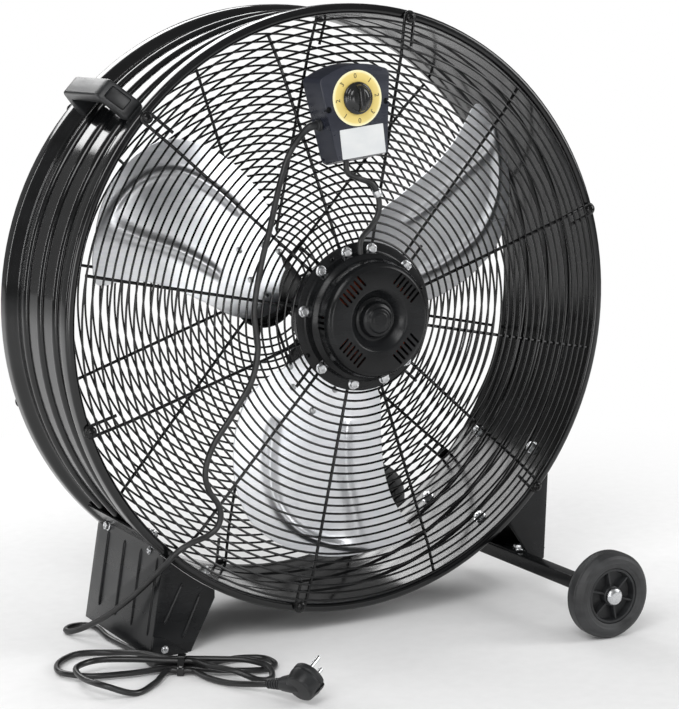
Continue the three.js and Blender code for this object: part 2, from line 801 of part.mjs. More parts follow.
// ---- Switch box -----------------------------------------------------------------------------

// Moves a shape drawn with X to the right and Y up on the box's face, Z out of it, to its place.
function onBox(geometry, backY) {
  const tilt = rad(BOX_ANGLE - 90);
  const centre = around(BOX_CENTRE_RADIUS, BOX_ANGLE, backY);
  return geometry.rotateX(Math.PI / 2).rotateY(-tilt).translate(centre.x, centre.y, centre.z);
}

// The box's outline: a wedge with a curved top. Its bottom is drawn at the back edge's level.
function boxOutline(inset) {
  const top = BOX_HEIGHT / 2 - inset;
  const low = -BOX_HEIGHT / 2 - BOX_DRAFT + inset;
  const a = BOX_TOP_WIDTH / 2 - inset;
  const b = BOX_BOTTOM_WIDTH / 2 - inset;
  const r = BOX_CORNER - inset;
  const lean = ((a - b) / BOX_HEIGHT) * r;
  const shape = new THREE.Shape();
  shape.moveTo(b - r, low);
  shape.quadraticCurveTo(b, low, b + lean, low + r);
  shape.lineTo(a - lean, top - r);
  shape.quadraticCurveTo(a, top, a - r, top + 2);
  shape.quadraticCurveTo(0, top + 2 * BOX_ARCH - 2, -a + r, top + 2);
  shape.quadraticCurveTo(-a, top, -a + lean, top - r);
  shape.lineTo(-b - lean, low + r);
  shape.quadraticCurveTo(-b, low, -b + r, low);
  return shape;
}

function boxSlab(inset, from, to) {
  const depth = to - from;
  const slab = new THREE.ExtrudeGeometry(boxOutline(inset), {
    depth,
    bevelEnabled: false,
    curveSegments: 2,
  });
  return slab.translate(0, 0, from);
}

// A cylinder that stands on the box's face.
function boxPost(x, y, from, to, radius, sides, endRadius = radius) {
  return rod(vec(x, y, from), vec(x, y, to), radius, sides, endRadius);
}

function placeOnBox(manifold) {
  return onBox(surface(manifold), BOX_BACK_Y);
}

const FACE = BOX_BASE + GAP + BOX_DEPTH; // the cover's face, measured out from the back of the box
const GLAND_DROP = -6; // gland centre against the box centre
const GLAND_OUT = 20;
const GLAND_REACH = 5;

function sideOfBox(y) {
  const share = (y + BOX_HEIGHT / 2) / BOX_HEIGHT;
  return -THREE.MathUtils.lerp(BOX_BOTTOM_WIDTH, BOX_TOP_WIDTH, share) / 2;
}

// What the slanted underside of the box leaves off, a wall's thickness in for the hollow.
function boxDraft(inset) {
  const low = -BOX_HEIGHT / 2 + inset;
  const side = new THREE.Shape();
  side.moveTo(low - BOX_DRAFT, 0);
  side.lineTo(low, FACE);
  side.lineTo(low, FACE + 9);
  side.lineTo(low - 40, FACE + 9);
  side.lineTo(low - 40, 0);
  const wedge = new THREE.ExtrudeGeometry(side, { depth: 2 * BOX_TOP_WIDTH, bevelEnabled: false });
  const turn = new THREE.Matrix4().makeBasis(vec(0, 1, 0), vec(0, 0, 1), vec(1, 0, 0));
  return solid(wedge.applyMatrix4(turn).translate(-BOX_TOP_WIDTH, 0, 0));
}

function boxCover() {
  const bevel = 2;
  const low = solid(boxSlab(0, BOX_BASE + GAP, FACE - bevel));
  const high = solid(boxSlab(bevel / 2, FACE - bevel - 0.01, FACE));
  const room = solid(boxSlab(BOX_WALL + bevel / 2, BOX_BASE - 1, FACE - BOX_WALL));
  const hollow = cut(room, boxDraft(BOX_WALL));
  const stem = solid(boxPost(0, DIAL_RISE, FACE - 5, FACE + 1, 4, 10));
  const screwX = BOX_TOP_WIDTH / 2 - 8.5;
  const screws = [-1, 1].map((side) =>
    solid(boxPost(side * screwX, DIAL_RISE - 8, FACE - 5, FACE + 1, 3.4, 8)),
  );
  const x = sideOfBox(GLAND_DROP);
  const gland = solid(rod(vec(x - 3, GLAND_DROP, GLAND_OUT), vec(x + 7, GLAND_DROP, GLAND_OUT), 5, 8));
  const lead = solid(rod(leadExit(-6), leadExit(6), LEAD / 2 + 0.9, 8));
  return placeOnBox(cut(join(low, high), boxDraft(0), hollow, stem, ...screws, gland, lead));
}

const LEAD_OUT = 14; // where the motor lead leaves the underside, out from the back

function leadExit(drop) {
  return vec(-7, -BOX_HEIGHT / 2 - BOX_DRAFT * (1 - LEAD_OUT / FACE) - drop, LEAD_OUT);
}

function boxBase() {
  const plate = solid(boxSlab(0, 0, BOX_BASE));
  const pad = cut(solid(boxSlab(BOX_WALL + 2.6, BOX_BASE - 0.5, BOX_BASE + 3)), boxDraft(BOX_WALL + 2));
  return placeOnBox(join(plate, pad));
}

function rotarySwitch() {
  const body = solid(block([-15, DIAL_RISE - 15, BOX_BASE + 3.3], [15, DIAL_RISE + 15, FACE - 6]));
  const bore = solid(boxPost(0, DIAL_RISE, BOX_BASE + 8, FACE, 3 + GAP, 10));
  return placeOnBox(cut(body, bore));
}

function dial() {
  const disc = solid(boxPost(0, DIAL_RISE, FACE + GAP, FACE + GAP + 0.8, DIAL_RADIUS, 32));
  const hole = solid(boxPost(0, DIAL_RISE, FACE - 1, FACE + 3, 4, 10));
  return placeOnBox(cut(disc, hole));
}

function labelPlate() {
  const y = -BOX_HEIGHT / 2 + LABEL_MARGIN + LABEL_HEIGHT / 2;
  const low = [-LABEL_WIDTH / 2 + LABEL_SHIFT, y - LABEL_HEIGHT / 2, FACE + GAP];
  const high = [LABEL_WIDTH / 2 + LABEL_SHIFT, y + LABEL_HEIGHT / 2, FACE + GAP + 0.6];
  return onBox(block(low, high), BOX_BACK_Y);
}

function knob() {
  const foot = FACE + 2 * GAP + 1;
  const skirt = solid(boxPost(0, DIAL_RISE, foot, foot + 3, KNOB_RADIUS, 24, KNOB_RADIUS - 1));
  const grip = solid(boxPost(0, DIAL_RISE, foot + 2, foot + 10, 14, 20, 12));
  const low = [-2.5, DIAL_RISE - 14.5, foot + 2];
  const bar = solid(block(low, [2.5, DIAL_RISE + 14.5, foot + KNOB_HEIGHT]));
  const stem = solid(boxPost(0, DIAL_RISE, FACE - 18, foot + 1, 3, 10));
  return placeOnBox(join(skirt, grip, bar, stem));
}

// A point given on the box's face, in the part's own axes.
function boxPoint(x, y, out) {
  const marker = new THREE.BufferGeometry().setFromPoints([vec(x, y, out)]);
  return new THREE.Vector3().fromBufferAttribute(onBox(marker, BOX_BACK_Y).attributes.position, 0);
}

function gland() {
  const x = sideOfBox(GLAND_DROP);
  const inner = vec(x + 4, GLAND_DROP, GLAND_OUT);
  const outer = vec(x - GLAND_REACH, GLAND_DROP, GLAND_OUT);
  const collar = solid(rod(vec(x - GAP - 1.3, GLAND_DROP, GLAND_OUT), outer, 6.5, 12, 5.5));
  return placeOnBox(join(solid(rod(inner, outer, 4.5, 12)), collar));
}

// ---- Lead from the box to the motor ---------------------------------------------------------

const LEAD = 6.4;
const LEAD_Y = -(GRILLE_FACE_Y + RING_OVER_SPOKE + RING_WIRE / 2 + LEAD / 2 + 0.9);
const LEAD_END_Y = PLATE_FRONT_Y - LEAD / 2 - 5;
const CLIP_ANGLE = 83.5;
const CLIP_RADIUS = 138.3; // midway between two rings

function leadPoints() {
  const exit = leadExit(0);
  return [
    boxPoint(exit.x, exit.y + 4, exit.z),
    boxPoint(exit.x, exit.y - 12, exit.z),
    around(155, 93, LEAD_Y),
    around(CLIP_RADIUS + 9, 86, LEAD_Y),
    around(CLIP_RADIUS - 6, 82, LEAD_Y),
    around(116, 81, LEAD_Y),
    around(100, 86, LEAD_Y - 2),
    around(90, 93, LEAD_Y - 5),
    around(82, 96.5, LEAD_END_Y),
    around(BELL_RADIUS + GAP + 0.1, 97, LEAD_END_Y),
  ];
}

// A band round the lead, with a tab back to the nearest spoke between two rings.
function clip() {
  const centre = around(CLIP_RADIUS, CLIP_ANGLE - 0.5, LEAD_Y);
  const along = around(CLIP_RADIUS - 6, 82, LEAD_Y).sub(around(CLIP_RADIUS + 9, 86, LEAD_Y)).normalize();
  const half = along.clone().multiplyScalar(3);
  const from = centre.clone().sub(half);
  const to = centre.clone().add(half);
  const reach = along.clone().multiplyScalar(6);
  const band = solid(rod(from, to, LEAD / 2 + 2.5, 12));
  const bore = solid(rod(from.clone().sub(reach), to.clone().add(reach), LEAD / 2 + 1.2, 12));
  const spoke = around(CLIP_RADIUS, 80, -(dishedY(CLIP_RADIUS) + SPOKE_WIRE / 2 + 0.5));
  const start = centre.clone().lerp(spoke, 0.5);
  return cut(join(band, solid(rod(start, spoke, 1.8, 6))), bore);
}

// ---- Handle ---------------------------------------------------------------------------------

// A moulded bridge: two feet on the barrel, sloping ends, a flat grip and a hollow underside.
function handle() {
  const half = HANDLE_LENGTH / 2;
  const foot = BARREL_RADIUS + BEAD_HEIGHT + GAP;
  const top = BARREL_RADIUS + HANDLE_HEIGHT;
  const under = top - HANDLE_THICK;
  const slope = 18;
  const side = new THREE.Shape();
  side.moveTo(-half, foot);
  side.lineTo(-half, foot + 6);
  side.lineTo(-half + slope, top - 2);
  side.lineTo(-half + slope + 6, top);
  side.lineTo(half - slope - 6, top);
  side.lineTo(half - slope, top - 2);
  side.lineTo(half, foot + 6);
  side.lineTo(half, foot);
  side.lineTo(half - slope, foot);
  side.lineTo(half - slope - 8, under);
  side.lineTo(-half + slope + 8, under);
  side.lineTo(-half + slope, foot);
  const bridge = new THREE.ExtrudeGeometry(side, { depth: HANDLE_WIDTH, bevelEnabled: false });
  const grip = solid(bridge.translate(0, 0, -HANDLE_WIDTH / 2));
  const wall = 3;
  const pocket = solid(
    block([-half + slope + 14, under - 1, -HANDLE_WIDTH / 2 + wall],
      [half - slope - 14, top - wall, HANDLE_WIDTH / 2 - wall]),
  );
  const recess = solid(
    block([-8, -2.5, -HANDLE_WIDTH / 2 + 5], [8, 6, HANDLE_WIDTH / 2 - 5])
      .rotateZ(Math.atan2(top - foot - 8, slope))
      .translate(-half + slope / 2, (foot + top + 4) / 2, 0),
  );
  const carved = surface(cut(grip, pocket, recess));
  const matrix = new THREE.Matrix4().makeBasis(
    vec(0, 1, 0),
    vec(Math.cos(rad(HANDLE_ANGLE)), 0, Math.sin(rad(HANDLE_ANGLE))),
    vec(Math.sin(rad(HANDLE_ANGLE)), 0, -Math.cos(rad(HANDLE_ANGLE))),
  );
  const placed = carved.applyMatrix4(matrix).translate(0, HANDLE_Y, AXIS_HEIGHT);
  const studs = handleBoltYs().map((y) => studWithNut(HANDLE_ANGLE, y, foot + 4));
  return join(solid(placed), ...studs);
}

// ---- Foot and wheel bracket -----------------------------------------------------------------

// Points along the barrel between two values of X, as [x, z].
function saddleArc(x0, x1, radius) {
  const points = [];
  for (let i = 0; i <= 6; i++) {
    const x = x0 + ((x1 - x0) * i) / 6;
    points.push([x, underDrum(x, radius)]);
  }
  return points;
}

// The curved flange that seats a foot or bracket on the barrel.
function saddle(degrees0, degrees1) {
  const arc = (radius, a, b) => {
    const points = [];
    for (let i = 0; i <= 6; i++) {
      const p = around(radius, a + ((b - a) * i) / 6, 0);
      points.push([p.x, p.z]);
    }
    return points;
  };
  const outer = SADDLE_RADIUS + FOOT_SHEET;
  const outline = [...arc(SADDLE_RADIUS - 1, degrees0, degrees1), ...arc(outer, degrees1, degrees0)];
  return solid(drawnAlongY(outline, -PLATE_HALF + 20, PLATE_HALF - 20));
}

// A pressed rib on a plate, between two points of its face.
function pressedRib(from, to, radius) {
  return solid(rod(from, to, radius, 4));
}

const SEAT_BORE = SADDLE_RADIUS - 8; // plates start inside the drum's skin and are cut to it

function foot() {
  const t = FOOT_SHEET;
  const top = underDrum(FOOT_TOP_X, SEAT_BORE);
  const innerZ = underDrum(FOOT_INNER_X, RIM_RADIUS) - FOOT_EDGE_DROP;
  const outline = [
    [FOOT_BOTTOM_X, 0],
    [FOOT_TOE_X, 0],
    [FOOT_INNER_X, innerZ],
    ...saddleArc(FOOT_INNER_X, FOOT_TOP_X, SEAT_BORE),
  ];
  const body = solid(drawnAlongY(outline, -PLATE_HALF, PLATE_HALF));
  const room = [
    [FOOT_BOTTOM_X + t, t],
    [FOOT_BOTTOM_X + t, -5],
    [FOOT_INNER_X + 40, -5],
    [FOOT_INNER_X + 40, AXIS_HEIGHT / 2],
    [FOOT_TOP_X + t, AXIS_HEIGHT / 2],
    [FOOT_TOP_X + t, top],
  ];
  const hollow = solid(drawnAlongY(room, -PLATE_HALF + t, PLATE_HALF - t));
  const soleLow = [FOOT_BOTTOM_X + 1, -PLATE_HALF + 1, 0];
  const sole = solid(block(soleLow, [FOOT_BOTTOM_X + SOLE_WIDTH, PLATE_HALF - 1, t]));
  const lean = (FOOT_TOP_X - FOOT_BOTTOM_X) / top;
  const ribs = [-1.5, -0.5, 0.5, 1.5].map((place) => {
    const at = (z) => vec(FOOT_BOTTOM_X + lean * z, place * FOOT_RIB_SPACING, z);
    return pressedRib(at(FOOT_RIB_END), at(top - FOOT_RIB_END), 2.2);
  });
  for (const y of [-PLATE_HALF, PLATE_HALF]) {
    for (const share of [0.35, 0.75]) {
      const x = THREE.MathUtils.lerp(FOOT_BOTTOM_X, FOOT_INNER_X, share);
      const low = vec(x - 6 - 8 * share, y, FOOT_RIB_END);
      ribs.push(pressedRib(low, vec(x + 6, y, innerZ + 4), 1.8));
    }
  }
  const flap = [
    [FOOT_BOTTOM_X + 1, 0],
    [FOOT_TOE_X - 4, 0],
    [FOOT_BOTTOM_X + 15, FOOT_RIB_END - 3],
    [FOOT_BOTTOM_X + 4, FOOT_RIB_END],
  ];
  const toe = solid(drawnAlongY(flap, -PLATE_HALF - 1.5, -PLATE_HALF + 1));
  const screw = vec(FOOT_BOTTOM_X + 21, -PLATE_HALF, 9);
  const toeScrew = solid(rod(screw, screw.clone().add(vec(0, -4.5, 0)), 4, 8));
  const raw = join(cut(body, hollow), sole, saddle(-138, -117.5), toe, toeScrew, ...ribs);
  return join(cut(raw, drumEnvelope()), ...saddleStuds(FOOT_BOLT_ANGLES));
}

function saddleStuds(angles) {
  return angles.flatMap((angle) =>
    [-SADDLE_BOLT_Y, SADDLE_BOLT_Y].map((y) => studWithNut(angle, y, SADDLE_RADIUS + 1)),
  );
}

const TUBE_TOP = WHEEL_RADIUS + TUBE_SIZE / 2;
const BRACKET_BOLT_Y = 86;

function bracket() {
  const low = TUBE_TOP - 14;
  const tubeSide = WHEEL_X + TUBE_SIZE / 2 + GAP;
  const outline = [
    [BRACKET_INNER_X, underDrum(BRACKET_INNER_X, SEAT_BORE)],
    [BRACKET_INNER_X, underDrum(BRACKET_INNER_X, RIM_RADIUS) - 3],
    [tubeSide, TUBE_TOP],
    [tubeSide + 1, low + 6],
    [tubeSide + 8, low],
    [BRACKET_TOP_X - 8, low],
    [BRACKET_TOP_X - 5, low + 3],
    ...saddleArc(BRACKET_TOP_X, BRACKET_INNER_X + 4, SEAT_BORE),
  ];
  const body = solid(drawnAlongY(outline, -PLATE_HALF, PLATE_HALF));
  const wall = BRACKET_TOP_X - FOOT_SHEET;
  const room = [
    [BRACKET_INNER_X - 20, low - 10],
    [wall - 5, low - 10],
    [wall - 5, low + 3],
    [wall, underDrum(BRACKET_TOP_X, SEAT_BORE)],
    [wall, AXIS_HEIGHT],
    [BRACKET_INNER_X - 20, AXIS_HEIGHT],
  ];
  const hollow = solid(drawnAlongY(room, -PLATE_HALF + FOOT_SHEET, PLATE_HALF - FOOT_SHEET));
  const ledgeLow = [WHEEL_X - TUBE_SIZE / 2, -PLATE_HALF + 1, TUBE_TOP + GAP];
  const ledgeHigh = [BRACKET_TOP_X - 4.5, PLATE_HALF - 1, TUBE_TOP + GAP + FOOT_SHEET];
  const ledge = solid(block(ledgeLow, ledgeHigh));
  const ribs = [-1, 1].map((side) => {
    const y = (side * PLATE_HALF) / 4;
    return pressedRib(vec(wall, y, TUBE_TOP + 20), vec(wall, y, TUBE_TOP + 70), 2);
  });
  const bolts = [-BRACKET_BOLT_Y, BRACKET_BOLT_Y].map((y) => {
    const base = ledgeHigh[2] - 0.5;
    return solid(rod(vec(WHEEL_X + 2, y, base), vec(WHEEL_X + 2, y, base + 4.5), 5, 6));
  });
  const raw = join(cut(body, hollow), ledge, saddle(-57, -31), ...ribs, ...bolts);
  return join(cut(raw, drumEnvelope()), ...saddleStuds(BRACKET_BOLT_ANGLES));
}

const TUBE_END_Y = WHEEL_Y - WHEEL_WIDTH / 2 - 3;

function axleTube() {
  const half = TUBE_SIZE / 2;
  const bore = half - TUBE_WALL;
  const low = [WHEEL_X - half, -TUBE_END_Y, WHEEL_RADIUS - half];
  const outer = solid(block(low, [WHEEL_X + half, TUBE_END_Y, WHEEL_RADIUS + half]));
  const inLow = [WHEEL_X - bore, -TUBE_END_Y - 1, WHEEL_RADIUS - bore];
  const inner = solid(block(inLow, [WHEEL_X + bore, TUBE_END_Y + 1, WHEEL_RADIUS + bore]));
  return cut(outer, inner);
}

// ---- Wheels ---------------------------------------------------------------------------------

const TYRE_BORE = 32;
const WHEEL_STEPS = 16;

function onAxle(geometry, side) {
  return geometry.translate(WHEEL_X, side * WHEEL_Y, WHEEL_RADIUS);
}

function tyre(side) {
  const w = WHEEL_WIDTH / 2;
  const groove = 5.5;
  const profile = [
    [TYRE_BORE, -w + 2],
    [TYRE_BORE + 6, -w],
    [WHEEL_RADIUS - 5, -w + 1],
    [WHEEL_RADIUS, -groove - 2],
    [WHEEL_RADIUS - 1.5, -groove],
    [WHEEL_RADIUS, -groove + 2],
    [WHEEL_RADIUS, groove - 2],
    [WHEEL_RADIUS - 1.5, groove],
    [WHEEL_RADIUS, groove + 2],
    [WHEEL_RADIUS - 5, w - 1],
    [TYRE_BORE + 6, w],
    [TYRE_BORE, w - 2],
  ];
  return onAxle(turned(profile, WHEEL_STEPS), side);
}

function wheelHub(side) {
  const rim = TYRE_BORE - GAP;
  const face = WHEEL_WIDTH / 2 - 3;
  const web = 4;
  const bore = AXLE_RADIUS + GAP;
  const profile = [
    [bore, -face],
    [11, -face],
    [11, -web / 2],
    [rim - 3, -web / 2],
    [rim, -face],
    [rim, face],
    [rim - 3, web / 2],
    [11, web / 2],
    [11, face],
    [bore, face],
  ];
  const ribs = [];
  for (let i = 0; i < 6; i++) {
    const rib = block([10, -face + 2, -1.1], [rim - 1, face - 2, 1.1]);
    ribs.push(solid(rib.rotateY(rad(60 * i + 12))));
  }
  return onAxle(surface(join(solid(turned(profile, WHEEL_STEPS)), ...ribs)), side);
}

// Bolt through the wheel, with a square plug that fills the end of the axle tube.
function axleBolt(side) {
  const end = TUBE_END_Y - WHEEL_Y;
  const face = WHEEL_WIDTH / 2 - 3;
  const profile = [
    [0, end],
    [8, end + GAP],
    [8, end + 2.5],
    [AXLE_RADIUS, end + 2.5],
    [AXLE_RADIUS, face + GAP],
    [10, face + GAP],
    [10, face + 4],
    [8, face + 6],
    [0, face + 6.5],
  ];
  const stem = turned(profile.map(([r, y]) => [r, side * y]), 10);
  const half = TUBE_SIZE / 2 - TUBE_WALL - GAP;
  const plug = block([-half, -10, -half], [half, 10, half]).translate(0, side * (end - 9), 0);
  return onAxle(surface(join(solid(stem), solid(plug))), side);
}

// ---- Mains cord -----------------------------------------------------------------------------

const OVER_RINGS = RING_OVER_SPOKE + RING_WIRE / 2 + CORD / 2 + 1;
const ON_FLOOR = CORD / 2 + 0.6;

// A point where the cord lies on the inlet grille.
function onGrille(x, z, lift = 0) {
  const radius = Math.hypot(x, z - AXIS_HEIGHT);
  return vec(x, -(dishedY(radius) + OVER_RINGS + lift), z);
}

function cordPoints() {
  const x = sideOfBox(GLAND_DROP) - GLAND_REACH - GAP;
  const route = [
    boxPoint(x - 9, GLAND_DROP, GLAND_OUT),
    onGrille(-90, 553, 1),
    onGrille(-102, 522),
    onGrille(-116, 471),
    onGrille(-128, 428),
    onGrille(-136, 380),
    onGrille(-132, 338),
    onGrille(-139, 306),
    onGrille(-163, 268),
    onGrille(-187, 234),
    onGrille(-195, 206),
    onGrille(-190, 186),
    onGrille(-180, 171),
    onGrille(-176.5, 158),
    onGrille(-181, 144.5),
    onGrille(-193, 136),
    onGrille(-210, 130.5, 1),
    vec(-225, -114, 122.5),
    vec(-235, -106, 109),
    vec(-244, -89, 90),
    vec(-252, -70, 72),
    vec(-260, -50, 55),
    vec(-269, -30, 39),
    vec(-279, -9, 24),
    vec(-289, 11, 12),
    vec(-297, 26, 5.5),
    vec(-298, 39, ON_FLOOR),
    vec(-289, 49, ON_FLOOR),
    vec(-275, 50, ON_FLOOR),
    vec(-265, 41, ON_FLOOR),
    vec(-263, 25, ON_FLOOR),
    vec(-266, -5, ON_FLOOR),
    vec(-264, -40, ON_FLOOR),
    vec(-260.5, -72, ON_FLOOR),
    vec(-260.5, -100, ON_FLOOR),
    vec(-264, -124, CORD / 2 + 1),
    hankEntry(CORD),
  ];
  return [boxPoint(x, GLAND_DROP, GLAND_OUT), ...spline(route, 62), hankEntry(GAP)];
}

// ---- Hank: the spare cord, laid in four loops through one tie ----------------------------------

// Each loop leaves one end of the tie, runs out to its tip and comes back.
// heading: degrees from +X; spread: half its width, positive where it sets out on its right.
const LOOPS = [
  { reach: 88, heading: -17, spread: 21 },
  { reach: 124, heading: 142, spread: 43 },
  { reach: 90, heading: -50, spread: 18 },
  { reach: 102, heading: 184, spread: -46 },
];
const HANK_AXIS = -32; // degrees from +X, along the strands in the tie
const HALF_WAIST = 13;
const LANE = CORD + 1.6;
const TIE_BAND = 1.5;

// The five strands in the tie as [lane across it, layer]: each loop joins one strand to the next.
const STRANDS = [[1, 0], [0, 0], [1, 1], [0, 1], [-1, 0]];

function strandHeight(layer) {
  return CORD / 2 + GAP + TIE_BAND + GAP + layer * LANE;
}

// A point of a strand, a distance along the tie from its middle.
function inTie(strand, along) {
  const [across, layer] = STRANDS[strand];
  const axis = rad(HANK_AXIS);
  const x = TIE_X + along * Math.cos(axis) - across * LANE * Math.sin(axis);
  const y = TIE_Y + along * Math.sin(axis) + across * LANE * Math.cos(axis);
  return vec(x, y, strandHeight(layer));
}

function hankEntry(before) {
  return inTie(0, -HALF_WAIST - 8 - before);
}

function loopPoint(number, t) {
  const { reach, heading, spread } = LOOPS[number];
  const end = number % 2 === 0 ? HALF_WAIST : -HALF_WAIST;
  const root = inTie(number, end).lerp(inTie(number + 1, end), t);
  const out = reach * Math.sin(Math.PI * t);
  const side = spread * Math.sin(2 * Math.PI * t);
  const turn = rad(heading);
  root.x += out * Math.cos(turn) - side * Math.sin(turn);
  root.y += out * Math.sin(turn) + side * Math.cos(turn);
  root.z = hankHeight(number, t);
  return root;
}

// Lower loops lie on the floor. An upper one stays up while it is over another.
function hankHeight(number, t) {
  const floor = ON_FLOOR;
  const from = strandHeight(STRANDS[number][1]);
  const to = strandHeight(STRANDS[number + 1][1]);
  const down = number === 3 ? [0.62, 0.78] : [0.3, 0.45];
  const up = number === 3 ? [0.9, 1] : [0.6, 0.75];
  const sink = THREE.MathUtils.smoothstep(t, ...down);
  const rise = THREE.MathUtils.smoothstep(t, ...(number === 1 ? [0.8, 0.97] : up));
  return THREE.MathUtils.lerp(THREE.MathUtils.lerp(from, floor, sink), to, rise);
}

function hankPoints() {
  const points = [hankEntry(-CORD), inTie(0, -HALF_WAIST + 4), inTie(0, 0), inTie(0, HALF_WAIST)];
  for (let number = 0; number < LOOPS.length; number++) {
    for (const t of [0.1, 0.22, 0.36, 0.5, 0.64, 0.78, 0.9]) points.push(loopPoint(number, t));
    const end = number % 2 === 0 ? HALF_WAIST : -HALF_WAIST;
    for (const along of [end, 0, -end]) points.push(inTie(number + 1, along));
  }
  points.push(vec(-231, -196, CORD / 2 + 0.8), vec(-219, -226, CORD / 2 + 1.4));
  points.push(plugPoint(RELIEF_END + GAP + CORD));
  const steps = LOOPS.length * LOOP_STEPS + 6;
  return [hankEntry(0), ...spline(points, steps), plugPoint(RELIEF_END + GAP)];
}

// Least clear distance between two strands of a tube along a path.
function leastGap(points, diameter) {
  let least = Infinity;
  const fine = new THREE.CatmullRomCurve3(points).getSpacedPoints(6 * points.length);
  const apart = Math.ceil((3 * diameter) / fine[0].distanceTo(fine[1]));
  for (let i = 0; i < fine.length; i++) {
    for (let j = i + apart; j < fine.length; j++) {
      least = Math.min(least, fine[i].distanceTo(fine[j]));
    }
  }
  return least - diameter;
}

function tie() {
  const low = GAP;
  const side = LANE + CORD / 2 + 1;
  const top = strandHeight(1) + CORD / 2 + GAP;
  const knee = strandHeight(0) + CORD / 2 + GAP;
  const ring = (grow) =>
    new THREE.Shape([
      new THREE.Vector2(-side - grow, low + TIE_BAND - grow),
      new THREE.Vector2(side + grow, low + TIE_BAND - grow),
      new THREE.Vector2(side + grow, top - 2 + grow),
      new THREE.Vector2(side - 2, top + grow),
      new THREE.Vector2(-3.8 - grow / 2, top + grow),
      new THREE.Vector2(-side - grow, knee + 0.5 + grow),
    ]);
  const band = (grow, width) =>
    new THREE.ExtrudeGeometry(ring(grow), { depth: width, bevelEnabled: false })
      .translate(0, 0, -width / 2)
      .applyMatrix4(new THREE.Matrix4().makeBasis(vec(0, 1, 0), vec(0, 0, 1), vec(1, 0, 0)))
      .rotateZ(rad(HANK_AXIS))
      .translate(TIE_X, TIE_Y, 0);
  return cut(solid(band(TIE_BAND, 6)), solid(band(0, 8)));
}

// ---- Plug -----------------------------------------------------------------------------------

const PLUG_FACE_RADIUS = 18.5;
const PIN_RADIUS = 2.4;
const PIN_LENGTH = 19;
const PIN_SPACING = 19;
const RELIEF_END = 50; // from the middle of the plug's head back to the end of its strain relief
const PLUG_LIFT = rad(30); // how far the pins point up
const PLUG_HEAD = vec(-177, -313, 22.8);
const PLUG_AXIS = vec(0.36, -0.906, 0.221).normalize(); // along the cord into the plug
const PIN_AXIS = vec(0.93, 0.37, Math.tan(PLUG_LIFT)).normalize(); // the way the pins point

function plugPoint(back) {
  return PLUG_HEAD.clone().addScaledVector(PLUG_AXIS, -back);
}

function facePoint(out, across = 0) {
  const point = PLUG_HEAD.clone().addScaledVector(PIN_AXIS, out);
  const line = PIN_AXIS.clone().cross(PLUG_AXIS).normalize().applyAxisAngle(PIN_AXIS, rad(25));
  return point.addScaledVector(line, across);
}

function plugBody() {
  const back = solid(rod(facePoint(-12), facePoint(-2), PLUG_FACE_RADIUS - 4, 16, PLUG_FACE_RADIUS));
  const front = solid(rod(facePoint(-2.1), facePoint(12), PLUG_FACE_RADIUS, 16));
  const neck = solid(rod(plugPoint(31), plugPoint(4), 7.2, 10, 12.5));
  const relief = solid(rod(plugPoint(RELIEF_END), plugPoint(29), 4.4, 8, 5.4));
  const ribs = [34, 39.5, 45].map((at) => solid(rod(plugPoint(at + 2.6), plugPoint(at), 6, 8)));
  const sockets = [-1, 1].map((side) => {
    const across = (side * PIN_SPACING) / 2;
    return solid(rod(facePoint(4, across), facePoint(14, across), PIN_RADIUS + GAP, 8));
  });
  const raw = join(back, front, neck, relief, ...ribs);
  const floor = solid(block([-400, -500, -20], [0, -100, GAP]));
  return cut(raw, floor, ...sockets);
}

function plugPin(side) {
  const across = (side * PIN_SPACING) / 2;
  const from = facePoint(4 + GAP, across);
  return rod(from, facePoint(12 + PIN_LENGTH, across), PIN_RADIUS, 8);
}

// ---- Assembly -------------------------------------------------------------------------------

add('drum_shell', drum(), BLACK);
add('handle', handle(), GREY_BLACK);

const hubRing = PLATE_RADIUS - 7;
add('inlet_grille_rings', grilleRings(-1, INLET_RINGS), BLACK);
add('inlet_grille_spokes', grilleSpokes(-1, hubRing), BLACK);
add('outlet_grille_rings', grilleRings(1, OUTLET_RINGS), BLACK);
add('outlet_grille_spokes', grilleSpokes(1, OUTLET_DISC_RADIUS - 6), BLACK);
add('outlet_centre_disc', outletDisc(), BLACK);
for (let i = 0; i < SPOKES; i += 2) {
  add('inlet_rim_screw_' + (i / 2 + 1), rimScrew(i, -1), BLACK);
  add('outlet_rim_screw_' + (i / 2 + 1), rimScrew(i, 1), BLACK);
}

add('motor_plate', motorPlate(), BLACK);
add('motor_bell', bell(), BLACK);
add('motor_can', onDrumAxis(turned(canProfile(), 20)), BLACK);
add('stator', onDrumAxis(turned(statorProfile(), 20)), COPPER);
add('rear_bearing', onDrumAxis(bearing(REAR_BEARING_Y)), ZINC);
add('front_bearing', onDrumAxis(bearing(CAN_FRONT_Y - GAP)), ZINC);
add('rotor_shaft', onDrumAxis(turned(shaftProfile(), 12)), ZINC);
add('blade_spider', spider(), BLACK);
for (let i = 0; i < BLADE_COUNT; i++) add('blade_' + (i + 1), blade(i), ALUMINIUM);

add('box_base', boxBase(), BLUE_GREY);
add('box_cover', boxCover(), BLUE_GREY);
add('rotary_switch', rotarySwitch(), GREY_BLACK);
add('dial_ring', dial(), YELLOW);
add('rating_plate', labelPlate(), WHITE);
add('selector_knob', knob(), BLACK);
add('cord_gland', gland(), GREY_BLACK);
add('motor_lead', wire(spline(leadPoints(), 32), LEAD, 6), BLACK);
add('lead_clip', clip(), ZINC);

add('foot', foot(), BLACK);
add('wheel_bracket', bracket(), BLACK);
add('axle_tube', axleTube(), BLACK);
for (const [name, side] of [['near', -1], ['far', 1]]) {
  add('tyre_' + name, tyre(side), RUBBER);
  add('wheel_hub_' + name, wheelHub(side), GREY_BLACK);
  add('axle_bolt_' + name, axleBolt(side), ZINC);
}

